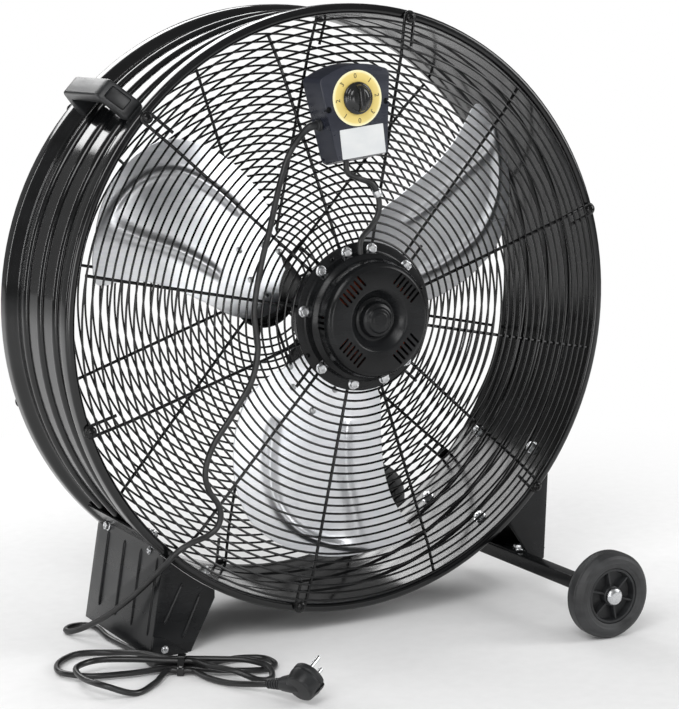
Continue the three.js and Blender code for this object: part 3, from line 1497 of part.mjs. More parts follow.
const hankPath = hankPoints();
add('cord', wire(cordPoints(), CORD, CORD_SIDES), BLACK);
add('hank', wire(hankPath, CORD, HANK_SIDES), BLACK);
console.log('hank: least gap to itself ' + leastGap(hankPath, CORD).toFixed(2) + ' mm');
add('cord_tie', tie(), BLACK);
add('plug_body', plugBody(), BLACK);
add('plug_pin_1', plugPin(-1), ZINC);
add('plug_pin_2', plugPin(1), ZINC);

export default parts;
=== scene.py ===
import math

import bmesh
import bpy
from mathutils import Matrix, Vector


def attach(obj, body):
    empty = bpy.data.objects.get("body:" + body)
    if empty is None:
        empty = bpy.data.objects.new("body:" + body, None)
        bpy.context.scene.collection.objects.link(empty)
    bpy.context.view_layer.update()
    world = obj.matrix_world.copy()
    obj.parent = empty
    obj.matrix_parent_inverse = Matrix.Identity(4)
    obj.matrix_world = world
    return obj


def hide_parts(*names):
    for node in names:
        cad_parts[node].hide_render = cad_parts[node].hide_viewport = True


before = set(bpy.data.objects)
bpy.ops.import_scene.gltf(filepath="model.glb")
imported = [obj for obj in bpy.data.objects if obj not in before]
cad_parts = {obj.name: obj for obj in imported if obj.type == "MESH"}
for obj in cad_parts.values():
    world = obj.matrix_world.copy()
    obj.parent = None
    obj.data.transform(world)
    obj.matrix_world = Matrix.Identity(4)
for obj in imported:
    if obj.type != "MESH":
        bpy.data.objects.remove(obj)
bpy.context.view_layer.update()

# ---- Sizes in millimetres, on the same axes as the solids ----

RIM_RADIUS = 345
HALF_DEPTH = 101
AXIS_HEIGHT = 366
BARREL_RADIUS = 335
SHEET = 1.5
HEM = 11
HEM_LENGTH = 20
FLARE = 10
BEAD_HEIGHT = 4
BEAD_SPACING = 44

RING_WIRE = 2.6
SPOKE_WIRE = 3.6
RING_PITCH = 9.3
OUTER_RING = 329
SPOKE_PHASE = 19
DISH = 13
KINK_RADIUS = 295
HAIRPIN = 12
HAIRPIN_LEG = 32
SCREW_CIRCLE = 337.2
RING_STAND = 3.85  # from the middle of the spokes to that of the rings, for what lies on them
GRILLE_EDGE_Y = 103.1
GRILLE_FACE_Y = GRILLE_EDGE_Y + DISH

PLATE_RADIUS = 84
PLATE_BACK_Y = -121.55
PLATE_FRONT_Y = -124.05
BELL_RADIUS = 72
BELL_FRONT_Y = -160.35
CAN_RADIUS = 60
CAN_BACK_Y = -121.25
CAN_FRONT_Y = CAN_BACK_Y + 66
SHAFT_END_Y = 18

BLADE_TIP = 302
BLADE_ROOT = 60
BLADE_PHASE = 51
BLADE_MIDDLE = -25
ROTOR_Y = -22

BOX_ANGLE = 97
BOX_CENTRE_RADIUS = 227
BOX_HEIGHT = 90
BOX_FACE = 40.3
DIAL_RISE = 18.7
DIAL_RADIUS = 30
BACK_THICKNESS = 4.3
BOX_SCREW_X = 35.5
BOX_SCREW_Y = DIAL_RISE - 8
ENTRY_Y = -6
ENTRY_Z = 20

HANDLE_ANGLE = 137.4
HANDLE_Y = -6
SADDLE_RADIUS = 339.3
PLATE_HALF = 94
STUD_Y = 60
NUT_RADIUS = 333.6
FOOT_TOP_X = -231
FOOT_BOTTOM_X = -252
FOOT_INNER_X = -172
FOOT_TOE_X = -202
BRACKET_TOP_X = 276
BRACKET_INNER_X = 218
WHEEL_X = 236
WHEEL_Y = 270
WHEEL_RADIUS = 50
TUBE_SIZE = 16
TUBE_TOP = 58
TUBE_END_Y = 253

LEAD = 6.4
CORD = 6.6

FOCAL_LENGTH = 2071.8  # of the camera, in pixels of the picture
PICTURE_HEIGHT = 709

# ---- Ways to place and shape ----


def rad(degrees):
    return math.radians(degrees)


def around(radius, degrees, y):
    """A point at a radius and angle round the drum axis."""
    turn = rad(degrees)
    return Vector((radius * math.cos(turn), y, AXIS_HEIGHT + radius * math.sin(turn)))


def under_drum(x, radius):
    """Height of the drum's underside, at a radius, over a point on the floor."""
    return AXIS_HEIGHT - math.sqrt(radius * radius - x * x)


def smoothstep(low, high, x):
    share = min(max((x - low) / (high - low), 0), 1)
    return share * share * (3 - 2 * share)


def shifted(*offset):
    return Matrix.Translation(offset)


def facing(place, direction):
    """The place of something drawn along Y, which now points in the given direction."""
    turn = Vector((0, 1, 0)).rotation_difference(Vector(direction))
    return Matrix.Translation(place) @ turn.to_matrix().to_4x4()


def axes(x, y, z, origin):
    place = Matrix((x, y, z)).transposed().to_4x4()
    place.translation = origin
    return place


ON_DRUM = shifted(0, 0, AXIS_HEIGHT)


def placed(shape, place):
    bmesh.ops.transform(shape, matrix=place, verts=shape.verts)
    return shape


def outward(shape):
    """The shape with all its faces turned out."""
    bmesh.ops.recalc_face_normals(shape, faces=shape.faces)
    return shape


def as_mesh(shape, name):
    """A mesh of the shape, which is used up."""
    mesh = bpy.data.meshes.new(name)
    shape.to_mesh(mesh)
    shape.free()
    return mesh


def linked(thing):
    bpy.context.scene.collection.objects.link(thing)
    return thing


def merged(*shapes):
    """One shape that holds all the given ones."""
    whole = bmesh.new()
    for shape in shapes:
        mesh = as_mesh(shape, "joined")
        whole.from_mesh(mesh)
        bpy.data.meshes.remove(mesh)
    return whole


def copies(shape, places):
    made = [placed(shape.copy(), place) for place in places]
    shape.free()
    return merged(*made)


def rounded(outline, radius, steps=3, closed=True):
    """The same outline with its corners rounded."""
    corners = [Vector(point) for point in outline]
    ends = () if closed else (0, len(corners) - 1)
    result = []
    for i, corner in enumerate(corners):
        if i in ends:
            result.append(tuple(corner))
            continue
        before = corners[i - 1] - corner
        after = corners[(i + 1) % len(corners)] - corner
        start = corner + before.normalized() * min(radius, 0.45 * before.length)
        end = corner + after.normalized() * min(radius, 0.45 * after.length)
        for step in range(steps + 1):
            t = step / steps
            result.append(tuple(start.lerp(corner, t).lerp(corner.lerp(end, t), t)))
    return result


def spun(shape, steps):
    """Everything drawn so far, spun once round the Y axis."""
    drawn = shape.verts[:] + shape.edges[:]
    bmesh.ops.spin(shape, geom=drawn, cent=(0, 0, 0), axis=(0, 1, 0), angle=2 * math.pi,
                   steps=steps, use_merge=True)


def turned(profile, sides=96):
    """A profile of (radius, y) points spun round the Y axis. It closes itself off the axis."""
    shape = bmesh.new()
    points = [shape.verts.new((radius, y, 0)) for radius, y in profile]
    for pair in zip(points, points[1:]):
        shape.edges.new(pair)
    if profile[0][0] > 0 or profile[-1][0] > 0:
        shape.edges.new((points[-1], points[0]))
    spun(shape, sides)
    bmesh.ops.remove_doubles(shape, verts=shape.verts, dist=0.001)
    return outward(shape)


def lathe(profile, radius, steps, sides):
    """A profile with its corners rounded and spun. It stays open where it starts on the axis."""
    return turned(rounded(profile, radius, steps, closed=profile[0][0] > 0), sides)


def soften(shape, width, steps=3, sharper_than=40, chosen=lambda edge: True):
    """Rounds the sharp edges of a shape."""
    sharp = [
        edge
        for edge in shape.edges
        if edge.calc_face_angle(0) > rad(sharper_than) and chosen(edge)
    ]
    bmesh.ops.bevel(
        shape, geom=sharp, offset=width, offset_type="OFFSET", segments=steps, profile=0.5,
        affect="EDGES", material=-1, clamp_overlap=True,
    )
    return shape


def longer_in_y(least):
    """Chooses edges by how far they run along Y."""
    return lambda edge: abs(edge.verts[0].co.y - edge.verts[1].co.y) > least


def slab(outline, depth):
    """A flat outline drawn out along Z."""
    shape = bmesh.new()
    face = shape.faces.new([shape.verts.new((x, y, 0)) for x, y in outline])
    grown = bmesh.ops.extrude_face_region(shape, geom=[face])["geom"]
    top = [item for item in grown if isinstance(item, bmesh.types.BMVert)]
    bmesh.ops.translate(shape, verts=top, vec=(0, 0, depth))
    return outward(shape)


def along_y(outline, low, high):
    """A flat outline in X and Z drawn out along Y."""
    return placed(slab(outline, high - low), axes((1, 0, 0), (0, 0, 1), (0, -1, 0), (0, high, 0)))


def block(low, high):
    size = [b - a for a, b in zip(low, high)]
    middle = [(a + b) / 2 for a, b in zip(low, high)]
    shape = bmesh.new()
    bmesh.ops.create_cube(shape, size=1)
    bmesh.ops.scale(shape, vec=size, verts=shape.verts)
    bmesh.ops.translate(shape, vec=middle, verts=shape.verts)
    return shape


def rod(start, end, radius, sides=24):
    """A cylinder between two points."""
    start, end = Vector(start), Vector(end)
    shape = bmesh.new()
    bmesh.ops.create_cone(shape, cap_ends=True, segments=sides, radius1=radius, radius2=radius,
                          depth=(end - start).length)
    turn = Vector((0, 0, 1)).rotation_difference(end - start).to_matrix().to_4x4()
    return placed(shape, Matrix.Translation((start + end) / 2) @ turn)


def as_shape(thing):
    """The shape of a curve or an object, after its modifiers."""
    owner = thing
    if not isinstance(thing, bpy.types.Object):
        owner = bpy.data.objects.new("drawn", thing)
    linked(owner)
    bpy.context.view_layer.update()
    view = bpy.context.evaluated_depsgraph_get()
    mesh = bpy.data.meshes.new_from_object(owner.evaluated_get(view))
    shape = bmesh.new()
    shape.from_mesh(mesh)
    bpy.data.objects.remove(owner)
    bpy.data.meshes.remove(mesh)
    return shape


def wire(paths, radius, sides=8, closed=False):
    """Round wires along lists of points. A point's fourth number scales the radius there."""
    curve = bpy.data.curves.new("wire", "CURVE")
    curve.dimensions = "3D"
    curve.bevel_depth = radius
    curve.bevel_resolution = (sides - 4) // 2
    curve.use_fill_caps = True
    for path in paths:
        line = curve.splines.new("POLY")
        line.points.add(len(path) - 1)
        for point, spot in zip(line.points, path):
            point.co = (spot[0], spot[1], spot[2], 1)
            point.radius = spot[3] if len(spot) > 3 else 1
        line.use_cyclic_u = closed
    shape = as_shape(curve)
    bmesh.ops.remove_doubles(shape, verts=shape.verts, dist=0.001)
    return outward(shape)


def carved(shape, *cutters):
    """What the cutters leave of a shape."""
    meshes = [as_mesh(part, "carving") for part in (shape, merged(*cutters))]
    body, tool = [bpy.data.objects.new("carving", mesh) for mesh in meshes]
    linked(tool)
    cut = body.modifiers.new("cut", "BOOLEAN")
    cut.object = tool
    cut.operation = "DIFFERENCE"
    cut.solver = "EXACT"
    cut.use_self = True
    result = as_shape(body)
    bpy.data.objects.remove(tool)
    bmesh.ops.dissolve_degenerate(result, dist=0.0005, edges=result.edges)
    return result


def lettered(text, size, thickness):
    """Flat figures centred on the origin, facing +Z."""
    curve = bpy.data.curves.new("figure", "FONT")
    curve.body = text
    curve.size = size
    curve.align_x = "CENTER"
    curve.align_y = "CENTER"
    curve.extrude = thickness / 2
    curve.resolution_u = 3
    return as_shape(curve)


def smooth_route(points, spacing):
    """Evenly spaced points on a centripetal spline through given ones."""
    points = [Vector(point) for point in points]
    ends = [2 * points[0] - points[1], *points, 2 * points[-1] - points[-2]]
    fine = []
    for p0, p1, p2, p3 in zip(ends, ends[1:], ends[2:], ends[3:]):
        t1 = (p1 - p0).length ** 0.5
        t2 = t1 + (p2 - p1).length ** 0.5
        t3 = t2 + (p3 - p2).length ** 0.5
        for step in range(16):
            t = t1 + (t2 - t1) * step / 16
            a1 = p0.lerp(p1, t / t1)
            a2 = p1.lerp(p2, (t - t1) / (t2 - t1))
            a3 = p2.lerp(p3, (t - t2) / (t3 - t2))
            b1 = a1.lerp(a2, t / t2)
            b2 = a2.lerp(a3, (t - t1) / (t3 - t1))
            fine.append(b1.lerp(b2, (t - t1) / (t2 - t1)))
    fine.append(points[-1])
    return evenly(fine, spacing)


def evenly(points, spacing):
    """The same line in steps of about one length."""
    length = sum((b - a).length for a, b in zip(points, points[1:]))
    count = max(round(length / spacing), 1)
    step = length / count
    result, done, wanted = [points[0]], 0, step
    for a, b in zip(points, points[1:]):
        piece = (b - a).length
        while wanted <= done + piece + 1e-6 and len(result) < count:
            result.append(a.lerp(b, (wanted - done) / piece))
            wanted += step
        done += piece
    return result + [points[-1]]


def finished(name, shape, finish, replaced=(), body="fan_body", crease=35):
    """Turns a shape into a piece of the fan, in metres. Its finish is a material and a slot; the
    slot is not used.
    """
    material, slot = finish
    bmesh.ops.scale(shape, vec=(0.001, 0.001, 0.001), verts=shape.verts)
    mesh = as_mesh(shape, name)
    mesh.shade_smooth()
    mesh.set_sharp_from_angle(angle=rad(crease))
    mesh.materials.clear()
    mesh.materials.append(material)
    piece = linked(bpy.data.objects.new(name, mesh))
    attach(piece, body)
    if replaced:
        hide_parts(*replaced)
    return piece


# ---- Finishes ----


def node(tree, kind, sockets=(), **settings):
    """Adds a node, makes its settings, and joins or sets its sockets."""
    made = tree.nodes.new(kind)
    for name, value in settings.items():
        setattr(made, name, value)
    for name, value in dict(sockets).items():
        if isinstance(value, bpy.types.NodeSocket):
            tree.links.new(value, made.inputs[name])
        else:
            made.inputs[name].default_value = value
    return made


def noise(tree, place, scale, detail=3.0, roughness=0.55):
    sockets = {"Vector": place, "Scale": scale, "Detail": detail, "Roughness": roughness}
    return node(tree, "ShaderNodeTexNoise", sockets).outputs["Fac"]


def stretched(tree, place, scale, turn=(0, 0, 0), origin=(0, 0, 0)):
    """The place, turned and scaled, so that a pattern runs longer one way."""
    sockets = {"Vector": place, "Location": origin, "Rotation": turn, "Scale": scale}
    return node(tree, "ShaderNodeMapping", sockets).outputs["Vector"]


def ramp(tree, factor, *stops):
    made = node(tree, "ShaderNodeValToRGB", {"Fac": factor})
    marks = made.color_ramp.elements
    while len(marks) < len(stops):
        marks.new(0.5)
    for mark, (position, colour) in zip(marks, stops):
        mark.position = position
        mark.color = (*colour, 1)
    return made.outputs["Color"]


def levels(tree, value, low, high, start=0.3, end=0.7):
    sockets = {"Value": value, "From Min": start, "From Max": end, "To Min": low, "To Max": high}
    return node(tree, "ShaderNodeMapRange", sockets).outputs["Result"]


def maths(tree, operation, first, second):
    made = node(tree, "ShaderNodeMath", operation=operation)
    for socket, value in zip(made.inputs, (first, second)):
        if isinstance(value, bpy.types.NodeSocket):
            tree.links.new(value, socket)
        else:
            socket.default_value = value
    return made.outputs["Value"]


def bump(tree, height, distance, strength=0.6, normal=None):
    sockets = {"Height": height, "Distance": distance, "Strength": strength}
    if normal is not None:
        sockets["Normal"] = normal
    return node(tree, "ShaderNodeBump", sockets).outputs["Normal"]


def join(tree, sockets, **values):
    """Joins node outputs to the sockets of the same names, with _ for a space."""
    for name, value in values.items():
        tree.links.new(value, sockets[name.replace("_", " ")])


def group(name, inputs, outputs):
    """An empty node group with its sockets, its tree and its two end nodes."""
    tree = bpy.data.node_groups.new(name, "ShaderNodeTree")
    for way, sockets in (("INPUT", inputs), ("OUTPUT", outputs)):
        for label, kind in sockets:
            tree.interface.new_socket(label, in_out=way, socket_type="NodeSocket" + kind)
    return tree, tree.nodes.new("NodeGroupInput").outputs, tree.nodes.new("NodeGroupOutput").inputs


def surface_grain_group():
    """The fine texture of a coating or moulding, as a normal."""
    sizes = [("Vector", "Vector"), ("Scale", "Float"), ("Depth", "Float")]
    tree, given, result = group("Surface Grain", sizes, [("Normal", "Vector")])
    fine = noise(tree, given["Vector"], given["Scale"], 2.0)
    join(tree, result, Normal=bump(tree, fine, given["Depth"]))
    return tree


def handling_marks_group():
    """Where hands, cloths and dust have dulled a surface, from 0 to 1."""
    tree, given, result = group(
        "Handling Marks", [("Vector", "Vector"), ("Scale", "Float")], [("Mask", "Float")]
    )
    broad = noise(tree, given["Vector"], given["Scale"], 5.0, 0.6)
    swept = stretched(tree, given["Vector"], (1, 0.25, 4), (0.3, 0.2, 0))
    wiped = noise(tree, swept, given["Scale"])
    mixed = maths(tree, "MULTIPLY", maths(tree, "ADD", broad, wiped), 0.5)
    join(tree, result, Mask=levels(tree, mixed, 0.0, 1.0, 0.4, 0.62))
    return tree


SURFACE_GRAIN = surface_grain_group()
HANDLING_MARKS = handling_marks_group()


def empty_tree(owner):
    owner.use_nodes = True
    owner.node_tree.nodes.clear()
    return owner.node_tree


def blank_finish(name, **uniform):
    """A material with its tree, its main shader and the object's own coordinates."""
    material = bpy.data.materials.new(name)
    tree = empty_tree(material)
    main = node(tree, "ShaderNodeBsdfPrincipled", uniform)
    node(tree, "ShaderNodeOutputMaterial", {"Surface": main.outputs["BSDF"]})
    place = node(tree, "ShaderNodeTexCoord").outputs["Object"]
    return material, tree, main.inputs, place


def grouped(tree, which, sockets):
    made = node(tree, "ShaderNodeGroup", node_tree=which)
    for name, value in sockets.items():
        if name == "Vector":
            tree.links.new(value, made.inputs[name])
        else:
            made.inputs[name].default_value = value
    return made.outputs[0]


def grain(tree, place, scale, depth):
    return grouped(tree, SURFACE_GRAIN, {"Vector": place, "Scale": scale, "Depth": depth})


def marks(tree, place, scale):
    return grouped(tree, HANDLING_MARKS, {"Vector": place, "Scale": scale})


def coating(name, slot, dark, light, rough, grain_size, grain_depth, mark_size=9, **uniform):
    """A coating or moulding whose colour and gloss vary a little over the surface."""
    material, tree, main, place = blank_finish(name, **uniform)
    mask = marks(tree, place, mark_size)
    colour = ramp(tree, mask, (0, dark), (1, light))
    join(tree, main, Base_Color=colour, Roughness=levels(tree, mask, *rough, 0, 1),
         Normal=grain(tree, place, grain_size, grain_depth))
    return material, slot


def grey(value, blue=0.0):
    return (value, value * (1 + blue * 0.4), value * (1 + blue))


def zinc_finish():
    material, tree, main, place = blank_finish("Bright Zinc", Metallic=1.0)
    cloud = noise(tree, place, 160, 3.0)
    spangle = ramp(tree, cloud, (0.3, grey(0.5, 0.05)), (0.7, grey(0.72, 0.02)))
    join(tree, main, Base_Color=spangle, Roughness=levels(tree, cloud, 0.2, 0.38),
         Normal=grain(tree, place, 900, 0.00004))
    return material, "zinc"


def aluminium_finish():
    """Rolled sheet: streaks along the sheet and soft clouds of dulling."""
    material, tree, main, place = blank_finish("Rolled Aluminium", Metallic=1.0)
    streaks = noise(tree, stretched(tree, place, (3, 40, 400), (0, 0.5, 0)), 1.0, 4.0, 0.6)
    cloud = noise(tree, place, 7, 4.0, 0.6)
    part, rest = [maths(tree, "MULTIPLY", *pair) for pair in ((streaks, 0.4), (cloud, 0.6))]
    shade = maths(tree, "ADD", part, rest)
    colour = ramp(tree, shade, (0.3, (0.66, 0.68, 0.72)), (0.7, (0.9, 0.9, 0.91)))
    join(tree, main, Base_Color=colour, Roughness=levels(tree, shade, 0.25, 0.4),
         Normal=bump(tree, streaks, 0.00006, 0.5))
    return material, "bare_aluminium"


def from_point(tree, place, centre):
    """The place, measured in metres from a centre given in millimetres."""
    return stretched(tree, place, (1, 1, 1), origin=tuple(-value / 1000 for value in centre))


def ring_waves(tree, place, centre, **sockets):
    """Rings round an axis along Y through the centre."""
    sockets["Vector"] = from_point(tree, place, centre)
    made = node(tree, "ShaderNodeTexWave", sockets, wave_type="RINGS", rings_direction="Y")
    return made.outputs["Fac"]


def winding_finish():
    """Varnished copper strands between laced coil ends. The dark between the strands is painted
    shade.
    """
    material, tree, main, place = blank_finish("Copper Winding", Roughness=0.32)
    strands = ring_waves(tree, place, (0, 0, AXIS_HEIGHT), Scale=190.0, Distortion=1.5, Detail=2.0)
    # The troughs between the strands are painted shade, nearly black; the crests are the copper
    # colour.
    strand_copper_and_gap_shade = ramp(tree, strands, (0.1, (0.1, 0.012, 0.006)), (0.9, (0.55, 0.1, 0.04)))
    join(tree, main, Base_Color=strand_copper_and_gap_shade, Normal=bump(tree, strands, 0.0004, 0.8))
    return material, "winding"


def tyre_finish(side):
    """Moulded rubber with fine rings pressed into its sides, and scuffs on the tread."""
    material, tree, main, place = blank_finish("Tyre Rubber " + side)
    sign = -1 if side == "Near" else 1
    rings = ring_waves(tree, place, (WHEEL_X, sign * WHEEL_Y, WHEEL_RADIUS), Scale=105.0)
    scuff = marks(tree, place, 40)
    colour = ramp(tree, scuff, (0, grey(0.014, 0.08)), (1, grey(0.034, 0.08)))
    fine = grain(tree, place, 1500, 0.00008)
    join(tree, main, Base_Color=colour, Roughness=levels(tree, scuff, 0.42, 0.62, 0, 1),
         Normal=bump(tree, rings, 0.00015, 0.4, fine))
    return material, "tyre_rubber"


def length_from(tree, place, centre):
    out = from_point(tree, place, centre)
    return node(tree, "ShaderNodeVectorMath", {0: out}, operation="LENGTH").outputs["Value"]


def dial_finish(centre):
    """A yellow film with a paler rim."""
    material, tree, main, place = blank_finish("Dial Film")
    main["Roughness"].default_value = 0.35
    distance = length_from(tree, place, centre)
    share = maths(tree, "DIVIDE", distance, DIAL_RADIUS / 1000)
    film = ramp(
        tree, share, (0.5, (0.62, 0.47, 0.13)), (0.88, (0.7, 0.56, 0.19)), (0.95, (0.8, 0.72, 0.4)),
        (0.985, (0.82, 0.78, 0.5)),
    )
    join(tree, main, Base_Color=film, Normal=grain(tree, place, 1200, 0.00003))
    return material, "dial_film"


def sheath_finish():
    """Mains cord: soft sheen, faint twist of the cores under the sheath."""
    material, tree, main, place = blank_finish("Cord Sheath")
    dust = marks(tree, place, 30)
    colour = ramp(tree, dust, (0, grey(0.008)), (1, grey(0.018, 0.05)))
    cores = noise(tree, place, 130, 1.0)
    fine = grain(tree, place, 1500, 0.00004)
    join(tree, main, Base_Color=colour, Roughness=levels(tree, dust, 0.28, 0.42, 0, 1),
         Normal=bump(tree, cores, 0.0006, 0.25, fine))
    return material, "cord_sheath"


GLOSS_PAINT = coating(
    "Black Gloss Paint", "black_gloss_paint", grey(0.0025, 0.1), grey(0.006, 0.15), (0.08, 0.17),
    120, 0.00002, **{"Specular IOR Level": 0.5}
)
SATIN_PAINT = coating(
    "Black Satin Paint", "black_satin_paint", grey(0.004, 0.1), grey(0.01, 0.15), (0.2, 0.32),
    700, 0.00005, **{"Specular IOR Level": 0.25}
)
WIRE_COAT = coating(
    "Black Wire Coat", "black_wire_coat", grey(0.002), grey(0.006, 0.1), (0.16, 0.3),
    900, 0.00003, 30, **{"Specular IOR Level": 0.35}
)
GREY_PLASTIC = coating(
    "Grey-black Moulding", "grey_black_plastic", grey(0.01, 0.1), grey(0.024, 0.12), (0.32, 0.46),
    1100, 0.0001, 22, **{"Specular IOR Level": 0.35}
)
BOX_PLASTIC = coating(
    "Blue-grey Moulding", "blue_grey_plastic", (0.016, 0.018, 0.027), (0.028, 0.031, 0.044),
    (0.24, 0.36), 900, 0.00006, 14
)
GLOSS_PLASTIC = coating(
    "Black Gloss Moulding", "black_gloss_plastic", grey(0.008), grey(0.016, 0.1), (0.1, 0.2),
    500, 0.00003, 30
)
WHITE_FILM = coating(
    "White Film", "white_film", (0.56, 0.58, 0.59), (0.63, 0.64, 0.64), (0.32, 0.45),
    700, 0.00003, 20
)
FIGURE_INK = coating(
    "Figure Ink", "black_gloss_plastic", grey(0.012), grey(0.03), (0.35, 0.5), 1200, 0.00002, 60
)
BRIGHT_PIN = coating(
    "Bright Pin", "bright_pin", grey(0.6, 0.02), grey(0.78, 0.02), (0.14, 0.26),
    800, 0.00003, 60, Metallic=1.0
)
ZINC = zinc_finish()
ALUMINIUM = aluminium_finish()
WINDING = winding_finish()
SHEATH = sheath_finish()

# ---- Fasteners, each standing on Y = 0 and pointing along +Y ----


def flanged_hex(width, height):
    """A hexagon head with a round flange and a dished top."""
    head = rod((0, 0.8, 0), (0, height, 0), width / math.sqrt(3), 6)
    soften(head, 0.5, 2)
    dish = turned([(0, height - 0.7), (width / 2 - 1.6, height - 0.4),
                   (width / 2 - 1, height + 0.3), (0, height + 0.3)], 20)
    edge = width * 0.68
    flange = [(0, 0), (edge, 0), (edge, 0.9), (width * 0.5, 1.9), (0, 1.9)]
    return merged(carved(head, dish), lathe(flange, 0.4, 2, 24))


def cross_screw(radius, height, washer):
    """A domed head with a cross in it, on a washer."""
    base = 0.9
    top = base + height
    dome = [(0, base), (radius, base)]
    for t in (0, 15, 32, 50, 70):
        dome.append((radius * math.cos(rad(t)), base + height * (0.35 + 0.65 * math.sin(rad(t)))))
    dome.append((0, top))
    reach = radius * 0.55
    half = 0.55
    cross = [
        block((-x, top - 1.5, -z), (x, top + 1, z)) for x, z in ((reach, half), (half, reach))
    ]
    head = carved(turned(dome, 20), *cross)
    ring = [(0, 0), (washer, 0), (washer, 1), (0, 1)]
    return merged(head, lathe(ring, 0.3, 2, 24))


def nut_on_stud(width):
    """A hexagon nut on its washer, with the stud's end showing."""
    nut = soften(rod((0, 1, 0), (0, 6, 0), width / math.sqrt(3), 6), 0.6, 2)
    washer = turned([(0, 0), (width * 0.72, 0), (width * 0.72, 1), (0, 1)], 20)
    return merged(nut, washer, rod((0, 1, 0), (0, 8, 0), 3, 12))


# ---- Drum ----

FLARE_Y = HALF_DEPTH - HEM_LENGTH - FLARE
HEM_BORE = RIM_RADIUS - HEM


def bead_arc(radius, height, half_width, middle):
    """A round bead across the barrel, from one side to the other."""
    return [
        (radius + height * math.sin(rad(t)) ** 1.3, middle - half_width * math.cos(rad(t)))
        for t in range(0, 181, 20)
    ]


def drum_profile():
    def hem(side):
        edge = [
            (BARREL_RADIUS, side * (FLARE_Y - 6)), (BARREL_RADIUS, side * FLARE_Y),
            (RIM_RADIUS, side * (FLARE_Y + FLARE)), (RIM_RADIUS, side * HALF_DEPTH),
            (HEM_BORE, side * HALF_DEPTH), (HEM_BORE, side * (HALF_DEPTH - HEM)),
        ]
        return rounded(edge, 5, 6, closed=False)

    bore = BARREL_RADIUS - SHEET
    places = [-BEAD_SPACING, 0, BEAD_SPACING]
    outside = [point for y in places for point in bead_arc(BARREL_RADIUS, BEAD_HEIGHT, 6, y)]
    inside = [point for y in places for point in bead_arc(bore, BEAD_HEIGHT, 5, y)]
    wall = [(bore, -FLARE_Y - 4), *inside, (bore, FLARE_Y + 4)]
    return [*reversed(hem(-1)), *outside, *hem(1), *reversed(wall)]


finished("rolled_drum", placed(turned(drum_profile(), 144), ON_DRUM), GLOSS_PAINT, ["drum_shell"])

# ---- Grilles ----


def dished_y(radius):
    """Distance of the spokes from the middle of the drum, by radius."""
    if radius >= KINK_RADIUS:
        return GRILLE_EDGE_Y + DISH / 2 * max(OUTER_RING - radius, 0) / (OUTER_RING - KINK_RADIUS)
    share = min((KINK_RADIUS - radius) / (KINK_RADIUS - PLATE_RADIUS), 1)
    return GRILLE_EDGE_Y + DISH * (0.5 + 0.5 * share)


def wire_ring(radius, diameter, y):
    shape = bmesh.new()
    bmesh.ops.create_circle(shape, segments=8, radius=diameter / 2)
    bmesh.ops.translate(shape, verts=shape.verts, vec=(radius, y, 0))
    spun(shape, 128 if radius > 150 else 80)
    return outward(shape)


def grille_rings(side, count):
    spacing = (SPOKE_WIRE + RING_WIRE) / 2 - 0.1
    rings = []
    for i in range(count):
        radius = OUTER_RING - i * RING_PITCH
        rings.append(wire_ring(radius, RING_WIRE, side * (dished_y(radius) + spacing)))
    return placed(merged(*rings), ON_DRUM)


def spoke_path(index, side, hub_radius):
    """A spoke. Every second one bends back round a rim screw, every third round a hub bolt."""
    angle = SPOKE_PHASE + 30 * index
    out = around(1, angle, 0) - around(0, 0, 0)
    clockwise = around(1, angle - 90, 0) - around(0, 0, 0)

    def at(radius, offset):
        return around(0, 0, side * dished_y(radius)) + out * radius + clockwise * offset

    def eye(radius, way):
        """Half a turn round a screw, on the outer side of a radius for 1 and the inner for -1."""
        bend = HAIRPIN / 2
        turns = [rad(turn) for turn in range(0, 181, 20)]
        return [
            at(radius + way * bend * math.sin(turn), bend - way * bend * math.cos(turn))
            for turn in turns
        ]

    if index % 3 == 1 and hub_radius > PLATE_RADIUS / 2:
        path = [at(hub_radius + HAIRPIN_LEG, HAIRPIN), *eye(hub_radius, -1)]
    else:
        path = [at(hub_radius, 0)]
    path += [at(radius, 0) for radius in (KINK_RADIUS - 4, KINK_RADIUS, KINK_RADIUS + 4)]
    if index % 2 == 0:
        return path + [*eye(SCREW_CIRCLE, 1), at(SCREW_CIRCLE - HAIRPIN_LEG, HAIRPIN)]
    return path + [at(OUTER_RING, 0)]


def grille_spokes(side, hub_radius):
    paths = [spoke_path(index, side, hub_radius) for index in range(12)]
    ring = wire_ring(hub_radius, SPOKE_WIRE, side * dished_y(hub_radius))
    return merged(wire(paths, SPOKE_WIRE / 2, 10), placed(ring, ON_DRUM))


def rim_screws(side):
    shift = math.degrees(HAIRPIN / 2 / SCREW_CIRCLE)
    places = []
    for index in range(0, 12, 2):
        spot = around(SCREW_CIRCLE, SPOKE_PHASE + 30 * index - shift, side * (HALF_DEPTH + 3.9))
        places.append(facing(spot, (0, side, 0)) @ Matrix.Rotation(rad(17 * index), 4, "Y"))
    return copies(cross_screw(5.4, 3.2, 6.6), places)


def outlet_disc():
    y = dished_y(44) + SPOKE_WIRE / 2
    profile = [(0, y + 2.5), (30, y + 2.5), (36, y + 2), (44, y - 0.5), (45, y + 0.8),
               (37, y + 3.6), (30, y + 4.2), (12, y + 4.2), (9, y + 3), (0, y + 3)]
    return placed(lathe(profile, 2, 3, 64), ON_DRUM)


for side, word, count, hub in ((-1, "inlet", 27, 77), (1, "outlet", 30, 38)):
    finished(word + "_rings", grille_rings(side, count), WIRE_COAT,
             [word + "_grille_rings"])
    finished(word + "_spokes", grille_spokes(side, hub), WIRE_COAT,
             [word + "_grille_spokes"])
    screws = [f"{word}_rim_screw_{number}" for number in range(1, 7)]
    finished(word + "_screws", rim_screws(side), WIRE_COAT, screws)

finished("outlet_disc", outlet_disc(), SATIN_PAINT, ["outlet_centre_disc"])

# ---- Motor ----

EYE_BOLTS = (45, 135, 225, 315)
PLATE_BOLTS = (83, 107, 172, 260, 290)


